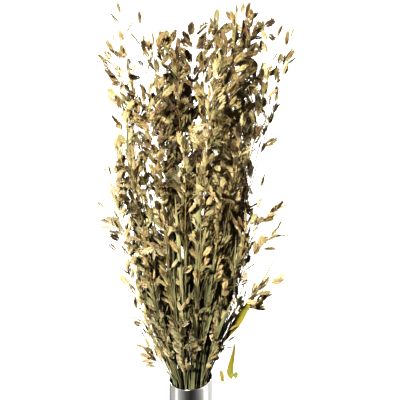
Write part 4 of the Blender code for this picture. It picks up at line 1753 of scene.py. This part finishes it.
@dataclass
class Bunch:
    """All the culms with what grows from them, each finished as two pieces: stem with blades, and spikelets."""

    culms: CulmPlan
    growth: GrowthPlan
    finishes: Finishes
    spans: int = 18
    joints: int = 3
    stem_sides: int = 6
    twig_spans: int = 8
    blade_spans: int = 14
    blade_columns: int = 4
    blade_thickness: float = 0.0003
    wide_blade: float = 0.0025
    strand_columns: int = 2
    stalk_radius: float = 0.00034
    stalk_spans: int = 3
    waver: float = 0.0011
    waver_from: float = 0.24
    waver_grows: float = 0.1
    waver_turn: float = 41.0
    joint_first: float = 0.16
    joint_step: float = 0.21
    joint_play: float = 0.05
    joint_rings: tuple[Triple, ...] = ((-0.0035, 1.0, 0.35), (0.0, 1.34, 0.9), (0.0035, 0.98, 0.25))
    twist_from: float = 0.35
    sags: Pair = (0.05, 0.25)
    breadths: Pair = (0.92, 1.14)
    nods: Pair = (0.02, 0.14)
    stem_tones: Pair = (0.1, 0.7)
    husk_tones: Pair = (0.57, 0.75)
    husk_play: Pair = (-0.2, 0.24)
    brown_tones: Pair = (0.0, 0.24)
    stem_crease: float = 50.0
    husk_crease: float = 24.0
    slim_inside: float = 0.1
    slim_until: float = 0.02
    slimmer_down: Table = ((0.32, 0.74), (0.62, 0.92), (0.84, 0.88))
    # Painted light and shade on the spikelets: darker high up (paler at the lowest), paler on the key-lit left flank
    # and darker at the far right, between the flank heights.
    painted_shade_by_height: Table = (
        (0.34, 0.1), (0.42, 0.0), (0.68, 0.0), (0.8, -0.11), (0.9, -0.15),
    )
    painted_flank_light_and_shade: Table = ((-0.11, 0.04), (-0.06, 0.0), (0.1, 0.0), (0.12, -0.05))
    flank_heights: Pair = (0.38, 0.72)
    # Painted shade: how much darker spikelets deep inside the bunch are made, and over what depth it grows.
    inner_shade: float = 0.26
    shade_depth: float = 0.6

    def __post_init__(self) -> None:
        """Makes the stock shapes."""
        self.stem_stock = Stock.tube(self.spans + 2 + 3 * self.joints, self.stem_sides)
        self.twig_stock = Stock.tube(self.twig_spans, 5)
        self.stalk_stock = Stock.tube(self.stalk_spans, 3)
        self.blade_stock = Stock.strip(self.blade_spans, self.blade_columns)
        self.strand_stock = Stock.strip(self.blade_spans, self.strand_columns)
        self.husk_stocks, self.husk_weights = HuskStock().make_all()

    def wavered(self, point: Point, height: float, start: float) -> Point:
        """A point of a culm, put a little aside as real culms waver, and left as it is inside the vase.

        Args:
            point: The point.
            height: How far up the culm it is.
            start: Where the culm's waver starts.

        Returns:
            The new point.
        """
        most = self.waver * min(1.0, max(0.0, (height - self.waver_from) / self.waver_grows))
        turn = start + height * self.waver_turn
        return point + np.array([math.sin(turn), math.cos(turn * 0.83 + start), 0.0]) * most

    def stem(self, bench: Bench, k: int, tone: float, rng: random.Random) -> list[Point]:
        """Lays one culm with its joints.

        Args:
            bench: Where it is laid.
            k: The culm's number.
            tone: How pale it is.
            rng: Its random draws.

        Returns:
            The line that it follows.
        """
        line = self.culms.run(self.culms.courses[k], self.spans)
        whole = line_length(line)
        start = rng.uniform(0.0, math.tau)
        swell = {}
        for i in range(self.joints):
            at = self.joint_first + self.joint_step * i + rng.uniform(-self.joint_play, self.joint_play)
            for off, wider, mark in self.joint_rings:
                swell[at + off / whole] = (wider, mark)
        shares = sorted([*line_shares(line), *swell])
        points = [self.wavered(along(line, share)[0], share * whole, start) for share in shares]
        swells = [swell.get(share, (1.0, 0.0)) for share in shares]
        foot = self.culms.foot_radius * 0.94
        radii = [self.culms.radius(foot, share) * wider for share, (wider, _) in zip(shares, swells)]
        bench.tube(self.stem_stock, points, radii, (tone, 0.0, 1.0), 0, [mark for _, mark in swells])
        return points

    def twig(self, bench: Bench, line: Line, tone: float) -> list[Point]:
        """Lays one side branch.

        Args:
            bench: Where it is laid.
            line: The line that it was planned on.
            tone: How pale it is.

        Returns:
            The line that it follows.
        """
        points = smooth_line(line, self.twig_spans)
        radii = [blend(self.growth.twig_radius, self.culms.tip_radius * 0.75, i / self.twig_spans)
                 for i in range(self.twig_spans + 1)]
        bench.tube(self.twig_stock, points, radii, (tone, 0.6, 1.0))
        return points

    def blade(self, bench: Bench, line: Line, laid: LaidBlade, stock: Stock, tone: float, fold: float,
              rng: random.Random) -> None:
        """Lays one leaf blade on its culm, with a slight twist, a wide one turned flat to the front.

        Args:
            bench: Where it is laid.
            line: The culm's line.
            laid: Its plan.
            stock: The strip that it is made of.
            tone: How pale it is.
            fold: How far its sides rise.
            rng: Its random draws.
        """
        middle = leaving_line(line, laid.share, laid.end, self.blade_spans)
        _, direction = along(line, laid.share)
        turn = rng.uniform(-0.5, 0.5)
        acrosses, widths = [], []
        square = np.cross(laid.across, direction)
        flat = np.cross(direction, np.array([0.0, -1.0, 0.0]))
        swing = math.atan2(float(flat @ square), float(flat @ laid.across))
        if abs(swing) > math.pi / 2:
            swing -= math.copysign(math.pi, swing)
        for i in range(self.blade_spans + 1):
            share = i / self.blade_spans
            angle = turn * max(0.0, share - self.twist_from)
            if laid.half_width > self.wide_blade:
                angle = swing * min(1.0, share / self.twist_from)
            acrosses.append(laid.across * math.cos(angle) + square * math.sin(angle))
            widths.append(GrowthPlan.blade_width(share, laid.half_width) * (1.0 if share < 0.97 else 0.35))
        bench.blade(stock, middle, acrosses, widths, fold, self.blade_thickness, tone, rng.random(), 1,
                    0.1, rng.uniform(0, 6))

    def husk(self, bench: Bench, husk: Husk, line: Line, tone: float, rng: random.Random) -> None:
        """Lays one spikelet on its thread of a stalk.

        Args:
            bench: Where it is laid.
            husk: Its plan.
            line: The stem that it grows from.
            tone: How pale it is.
            rng: Its random draws.
        """
        root = nearest_on(line, husk.root)
        neck = husk.root + husk.axis * husk.stalk
        face = np.cross(husk.axis, husk.across)
        body = self.growth.body_length * husk.size
        sag = rng.uniform(*self.sags) * husk.stalk
        points = []
        for i in range(self.stalk_spans + 1):
            t = i / self.stalk_spans
            lift = 4 * t * (1 - t) * sag
            points.append(blend(root, neck + husk.axis * body * 0.06, t) + UP * lift * 0.5)
        radii = [self.stalk_radius * r for r in (1.5, 1.0, 0.95, 1.6)]
        bench.tube(self.stalk_stock, points, radii, (tone * 0.8, 0.6, 1.0), 1)
        stock = rng.choices(self.husk_stocks, self.husk_weights)[0]
        local = stock.places.copy()
        z = local[:, 2]
        twist = rng.uniform(-0.55, 0.55) * z
        x = local[:, 0] * rng.uniform(*self.breadths)
        if abs(neck[0]) < self.slim_inside and neck[1] < self.slim_until:
            x = x * read_off(self.slimmer_down, neck[2])
        y = local[:, 1]
        turned_x = x * np.cos(twist) - y * np.sin(twist)
        turned_y = x * np.sin(twist) + y * np.cos(twist) - rng.uniform(*self.nods) * z * z
        turned_x = turned_x + rng.uniform(-0.06, 0.06) * z * z
        places = neck + body * (
            turned_x[:, None] * husk.across + turned_y[:, None] * face + z[:, None] * husk.axis
        )
        values = stock.growth.copy()
        values[:, 0] = tone
        bench.lay(stock, places, values)

    def shaded(self, spot: Point) -> float:
        """Painted shade: how much darker spikelets are made deep inside the bunch, where shade falls.

        Args:
            spot: The spot.

        Returns:
            What is taken off their tone.
        """
        room = self.growth.room
        left, right = read_off(room.left, spot[2]), read_off(room.right, spot[2])
        half = (right - left) / 2
        deep = 1.0 - math.hypot((spot[0] - left) / half - 1.0, spot[1] / half)
        return self.inner_shade * min(1.0, max(0.0, deep) / self.shade_depth)

    def paler(self, spot: Point) -> float:
        """Painted light and shade: tone added to spikelets, paler on the key-lit left flank and, below 0, darker high
        up and at the far right.
        """
        flank = self.flank_heights[0] < spot[2] < self.flank_heights[1]
        return read_off(self.painted_shade_by_height, spot[2]) + (read_off(self.painted_flank_light_and_shade, spot[0]) if flank else 0.0)

    def build_culm(self, k: int) -> None:
        """Builds and dresses one culm.

        Args:
            k: The culm's number.
        """
        rng = random.Random(f"dress {SEED} {k}")
        name = f"culm_{k:02d}"
        bench = Bench()
        course = self.culms.courses[k]
        # Painted shade: culms that leave the mouth near its middle, and more so those at its back, get darker stems,
        # where the bunch's shade falls.
        edge = min(1.0, course.reach / self.culms.mouth_reach * (1.0 if math.sin(course.angle) < 0.3 else 0.6))
        tone = rng.uniform(*self.stem_tones) * edge
        line = self.stem(bench, k, tone, rng)
        lines = [line]
        for twig in self.growth.twigs[k]:
            lines.append(self.twig(bench, twig, tone))
        for laid in self.growth.blades[k]:
            self.blade(bench, line, laid, self.blade_stock, rng.uniform(0.5, 1.0), 0.22, rng)
        for laid in self.growth.strands[k]:
            # Painted shade and random tone: strands are dark at random, and darker still on culms near the middle and
            # back of the mouth.
            shade = rng.random() ** 1.5 * blend(0.15, 1.0, edge)
            self.blade(bench, line, laid, self.strand_stock, shade, 0.35, rng)
        settle(bench.piece(f"{name}_stem", (self.finishes.stem, self.finishes.blade), self.stem_crease), name)
        bench = Bench()
        head = course.head
        # Painted shade: spikelets on culms whose heads are in the middle and at the back of the bunch are made darker,
        # where shade falls.
        deep = max(0.0, 1.0 - abs(head[0] - 0.02) / 0.11) * (0.5 + 0.5 * min(1.0, max(-1.0, head[1] / 0.06)))
        base = rng.uniform(*self.husk_tones) - 0.16 * deep
        if rng.random() < 0.16:
            base -= 0.2
        for husk in self.growth.husks[k]:
            gaps = [math.dist(nearest_on(found, husk.root), husk.root) for found in lines]
            # Painted shade and own colour: about one spikelet in eight is dark brown anywhere, and more are made dark
            # brown in the middle and back of the bunch.
            brown = rng.random() < 0.13 + 0.28 * deep
            own = rng.uniform(*(self.brown_tones if brown else self.husk_play))
            if not brown:
                own = base + own + self.paler(husk.root)
            # Painted shade deep inside the bunch.
            own -= self.shaded(husk.root)
            self.husk(bench, husk, lines[gaps.index(min(gaps))], own, rng)
        settle(bench.piece(f"{name}_spikelets", (self.finishes.husk, self.finishes.stem), self.husk_crease), name)

    def build(self) -> None:
        """Builds every culm."""
        for k in sorted(self.culms.lines):
            self.build_culm(k)


@dataclass
class BroadLeaf:
    """The broad olive leaf that leans out on its own stalk, with a small curled blade hanging from it."""

    culms: CulmPlan
    owner: int = 99
    line: tuple[Triple, ...] = (
        (0.046, -0.012, 0.268), (0.058, -0.016, 0.292), (0.076, -0.02, 0.32), (0.096, -0.023, 0.352),
        (0.122, -0.026, 0.4), (0.146, -0.026, 0.444), (0.173, -0.022, 0.496), (0.198, -0.016, 0.544),
    )
    half_widths: tuple[float, ...] = (0.0013, 0.0024, 0.0062, 0.0086, 0.0038, 0.0014, 0.0008, 0.0006)
    thread: tuple[Triple, ...] = (
        (0.087, -0.0214, 0.3376), (0.0925, -0.0275, 0.331), (0.0925, -0.03, 0.316), (0.0885, -0.0305, 0.3),
    )
    hanging: tuple[Triple, ...] = (
        (0.0895, -0.0304, 0.306), (0.087, -0.031, 0.288), (0.0835, -0.032, 0.268),
        (0.0805, -0.033, 0.25), (0.081, -0.035, 0.241), (0.087, -0.037, 0.238),
    )
    hanging_half_widths: tuple[float, ...] = (0.0008, 0.004, 0.0058, 0.0052, 0.0046, 0.0022)
    curled: tuple[Triple, ...] = (
        (0.0895, -0.0304, 0.306), (0.0872, -0.031, 0.288), (0.0838, -0.032, 0.268), (0.0808, -0.033, 0.252),
        (0.0806, -0.0352, 0.241), (0.0855, -0.0378, 0.2355), (0.0915, -0.037, 0.2385), (0.0935, -0.0345, 0.244),
    )
    curled_half_widths: tuple[float, ...] = (0.0008, 0.003, 0.0048, 0.0062, 0.0066, 0.006, 0.0052, 0.0026)
    drawn_half_widths: tuple[float, ...] = (0.0011, 0.0016, 0.005, 0.0082, 0.0042, 0.0015, 0.0008, 0.0006)
    thread_radius: float = 0.0006
    dangling: tuple[Triple, ...] = (
        (0.0585, -0.0165, 0.2925), (0.0612, -0.025, 0.278), (0.0608, -0.031, 0.262), (0.0618, -0.033, 0.249),
    )
    dangling_radius: float = 0.00022
    dangling_size: float = 0.03
    spans: int = 44
    hanging_spans: int = 26
    stalk_spans: int = 16
    thread_spans: int = 12
    columns: int = 6
    fold: float = 0.22
    thickness: float = 0.0004
    crease: float = 60.0

    def lay(self, rods: RodField) -> list[Point]:
        """Keeps its place.

        Args:
            rods: The field that keeps it.

        Returns:
            Its stalk's line.
        """
        leaf, hanging, thread = (np.array(line) for line in (self.line, self.hanging, self.thread))
        head = leaf[0]
        inside = self.culms.in_vase(math.atan2(head[1], head[0]), self.culms.mouth_reach)
        stalk = inside + [blend(inside[-1], head, 0.5), head, blend(leaf[0], leaf[1], 0.8)]
        made = self.culms.rods(stalk)
        for line, widths in ((leaf, self.half_widths), (hanging, self.hanging_half_widths)):
            for i in range(len(line) - 1):
                made.append((line[i], line[i + 1], max(widths[i], widths[i + 1])))
        made += [(thread[i], thread[i + 1], self.thread_radius) for i in range(len(thread) - 1)]
        rods.add(made, self.owner)
        return stalk

    @staticmethod
    def widths(values: Sequence[float], line: Line, spans: int) -> list[float]:
        """Half widths read evenly along a blade, rounded between the ones given at its line's points.

        Args:
            values: The half widths at the line's points.
            line: The line's points.
            spans: The blade's spans.

        Returns:
            The half width at each of its rows.
        """
        held = [np.array([share, value, 0.0]) for share, value in zip(line_shares(line), values)]
        drawn = np.array(smooth_line(held, spans * 2))
        return [float(np.interp(i / spans, drawn[:, 0], drawn[:, 1])) for i in range(spans + 1)]

    def build(self, stalk: Line, finishes: Finishes) -> None:
        """Builds and dresses the stalk, the leaf, the thread and the hanging blade.

        Args:
            stalk: The line of its stalk.
            finishes: The materials.
        """
        bench = Bench()
        line = smooth_line(stalk, self.stalk_spans)
        radii = [self.culms.radius(self.culms.foot_radius, share) for share in line_shares(line)]
        bench.tube(Stock.tube(self.stalk_spans, 8), line, radii, (0.0, 0.0, 0.1))
        leaf = smooth_line(self.line, self.spans)
        acrosses = []
        for i in range(self.spans + 1):
            at = 7 * i / self.spans
            acrosses.append(unit(np.array([0.8, -0.3 + 0.02 * at, -0.5])))
        wide = self.widths(self.drawn_half_widths, self.line, self.spans)
        bench.blade(Stock.strip(self.spans, self.columns), leaf, acrosses, wide, self.fold, self.thickness, 0.02,
                    0.0, 0, 0.07)
        settle(bench.piece("broad_leaf_olive", (finishes.olive,), self.crease), "broad_leaf")
        bench = Bench()
        fine = Stock.tube(self.thread_spans, 5)
        thread = smooth_line(self.thread, self.thread_spans)
        bench.tube(fine, thread, [self.thread_radius * 0.8] * len(thread), (0.0, 0.05, 0.2))
        hanging = smooth_line(self.curled, self.hanging_spans)
        flat = [unit(np.array([1.0, -0.12, 0.08]))] * (self.hanging_spans + 1)
        wide = self.widths(self.curled_half_widths, self.curled, self.hanging_spans)
        bench.blade(Stock.strip(self.hanging_spans, self.columns), hanging, flat, wide, self.fold, self.thickness,
                    0.0, 0.0, 0, 0.06, 0.0, (0.3, 0.48))
        thread = smooth_line(self.dangling, self.thread_spans)
        bench.tube(fine, thread, [self.dangling_radius] * len(thread), (0.0, 0.05, 0.2))
        husk = HuskStock().make(Habit.CLOSED, 1)
        down, across = unit(np.array([0.16, -0.1, -1.0])), unit(np.array([1.0, 0.2, 0.14]))
        face = np.cross(down, across)
        x, y, z = (husk.places[:, i : i + 1] for i in range(3))
        places = thread[-1] + self.dangling_size * (x * across + y * face + z * down)
        values = husk.growth.copy()
        values[:, 1] = 0.4 + 0.18 * values[:, 1]
        bench.lay(husk, places, values)
        settle(bench.piece("broad_leaf_hanging", (finishes.olive,), self.crease), "broad_leaf")


@dataclass
class Studio:
    """The pale floor, the soft lights and the camera."""

    camera_place: Triple = (0.0193, -1.5, 1.006)
    camera_pitch: float = 15.25
    lens: float = 71.55
    floor_radius: float = 40.0
    floor_glow: float = 0.95
    key_power: float = 9.8
    key_turn: float = -26.0
    key_height: float = 34.0
    key_softness: float = 5.0
    back_keys: tuple[tuple[str, float, float], ...] = (("key_right", 128.0, 4.2), ("key_left", 228.0, 3.6))
    fill_power: float = 0.6
    band_radius: float = 0.27
    band_height: float = 0.5

    def build(self) -> None:
        """Sets up the camera, the floor, the lights and what the steel reflects."""
        self.camera()
        self.floor()
        self.lights()
        self.band()
        scene = bpy.context.scene
        scene.view_settings.view_transform = "Standard"
        scene.view_settings.look = "High Contrast"

    def camera(self) -> None:
        """The camera at the photograph's height and angle."""
        data = bpy.data.cameras.new("camera")
        data.lens = self.lens
        data.sensor_width = 36.0
        data.clip_end = 200.0
        made = placed("camera", data)
        made.location = self.camera_place
        made.rotation_euler = (math.radians(90.0 - self.camera_pitch), 0.0, 0.0)
        bpy.context.scene.camera = made

    def floor(self) -> None:
        """The pale floor and the pale room round it."""
        bm = bmesh.new()
        bmesh.ops.create_circle(bm, cap_ends=True, segments=96, radius=self.floor_radius)
        bmesh.ops.recalc_face_normals(bm, faces=bm.faces)
        mesh = bpy.data.meshes.new("floor")
        bm.to_mesh(mesh)
        bm.free()
        shades = Shades("pale_floor", 0.9, specular=0.1)
        shades.shader.inputs["Base Color"].default_value = (0.22, 0.22, 0.218, 1.0)
        shades.shader.inputs["Emission Color"].default_value = (1.0, 1.0, 0.99, 1.0)
        shades.shader.inputs["Emission Strength"].default_value = self.floor_glow
        mesh.materials.append(shades.material)
        made = placed("floor", mesh)
        made.visible_diffuse = False
        world = bpy.data.worlds.new("room")
        world.use_nodes = True
        back = world.node_tree.nodes["Background"]
        back.inputs["Color"].default_value = (1.0, 1.0, 0.99, 1.0)
        back.inputs["Strength"].default_value = 1.05
        world.cycles_visibility.diffuse = False
        world.cycles_visibility.glossy = False
        bpy.context.scene.world = world

    def lights(self) -> None:
        """A soft key light from the front left, weaker ones for the other sides, and weak wide fills."""
        for name, turned, power in (("key", self.key_turn, self.key_power), *self.back_keys):
            key = bpy.data.lights.new(name, "SUN")
            key.energy = power
            key.angle = math.radians(self.key_softness)
            key.color = (1.0, 0.975, 0.93)
            made = placed(name, key)
            turn, height = math.radians(turned), math.radians(self.key_height)
            way = Vector((math.sin(turn) * math.cos(height), -math.cos(turn) * math.cos(height), math.sin(height)))
            made.rotation_euler = way.to_track_quat("Z", "Y").to_euler()
        for name, place, size, share in (
            ("fill_front", (0.5, -2.4, 1.2), 2.0, 1.0),
            ("fill_left", (-2.4, 0.2, 1.0), 2.0, 0.6),
            ("fill_right", (2.4, 0.4, 0.9), 2.0, 0.6),
            ("fill_back", (0.2, 2.6, 1.4), 2.0, 0.8),
        ):
            data = bpy.data.lights.new(name, "AREA")
            data.size = size
            data.energy = self.fill_power * share
            fill = placed(name, data)
            fill.location = place
            fill.rotation_euler = (Vector(place) - Vector((0, 0, 0.55))).to_track_quat("Z", "Y").to_euler()
            fill.visible_glossy = False

    def band(self) -> None:
        """The dark and bright panels round the table, which only the steel's reflections see."""
        bm = bmesh.new()
        bmesh.ops.create_cone(bm, cap_ends=False, segments=96, radius1=self.band_radius, radius2=self.band_radius,
                              depth=self.band_height)
        bmesh.ops.translate(bm, verts=bm.verts, vec=(0.0, 0.0, self.band_height / 2))
        disc = bmesh.ops.create_circle(bm, cap_ends=True, segments=96, radius=self.band_radius)["verts"]
        bmesh.ops.translate(bm, verts=disc, vec=(0.0, 0.0, 0.0006))
        mesh = bpy.data.meshes.new("panels")
        bm.to_mesh(mesh)
        bm.free()
        shades = Shades("panels", 1.0, specular=0.0)
        turn = shades.node("ShaderNodeTexGradient", gradient_type="RADIAL")
        shades.put(turn.inputs["Vector"], shades.coordinates())
        stops = ((0.0, 0.62), (0.02, 0.66), (0.031, 1.6), (0.049, 1.6), (0.062, 0.7), (0.085, 0.56), (0.13, 0.38),
                 (0.19, 0.14), (0.25, 0.05), (0.31, 0.12), (0.36, 0.3), (0.4, 0.5), (0.43, 0.68), (0.452, 1.6),
                 (0.515, 1.6), (0.53, 0.72), (0.59, 0.82), (0.7, 0.6), (0.8, 0.14), (0.85, 0.14), (0.91, 0.55),
                 (1.0, 0.62))
        glow = shades.ramp(turn.outputs["Fac"], [(p, (v / 2,) * 3) for p, v in stops])
        shades.shader.inputs["Base Color"].default_value = (0.0, 0.0, 0.0, 1.0)
        shades.put(shades.shader.inputs["Emission Color"], glow)
        shades.shader.inputs["Emission Strength"].default_value = 2.0
        mesh.materials.append(shades.material)
        made = placed("panels", mesh)
        for kind in ("camera", "diffuse", "transmission", "volume_scatter", "shadow"):
            setattr(made, f"visible_{kind}", False)


def main() -> None:
    """Builds the studio, the vase and the bunch in order."""
    logging.basicConfig(level=logging.INFO, format="%(message)s")
    Studio().build()
    finishes = Finishes.made()
    vase = Vase()
    vase.build(finishes)
    rods = RodField()
    culms = CulmPlan(vase)
    leaf = BroadLeaf(culms)
    stalk = leaf.lay(rods)
    culms.lay(rods)
    growth = GrowthPlan(culms, rods, np.array(solid_box[0]), np.array(solid_box[1]))
    growth.lay()
    log.info("%d culms, %d spikelets, %d rods", len(culms.lines), sum(map(len, growth.husks.values())), rods.count)
    Bunch(culms, growth, finishes).build()
    leaf.build(stalk, finishes)
    for mesh in [m for m in bpy.data.meshes if m.users == 0]:
        bpy.data.meshes.remove(mesh)


if __name__ == "__main__":
    main()
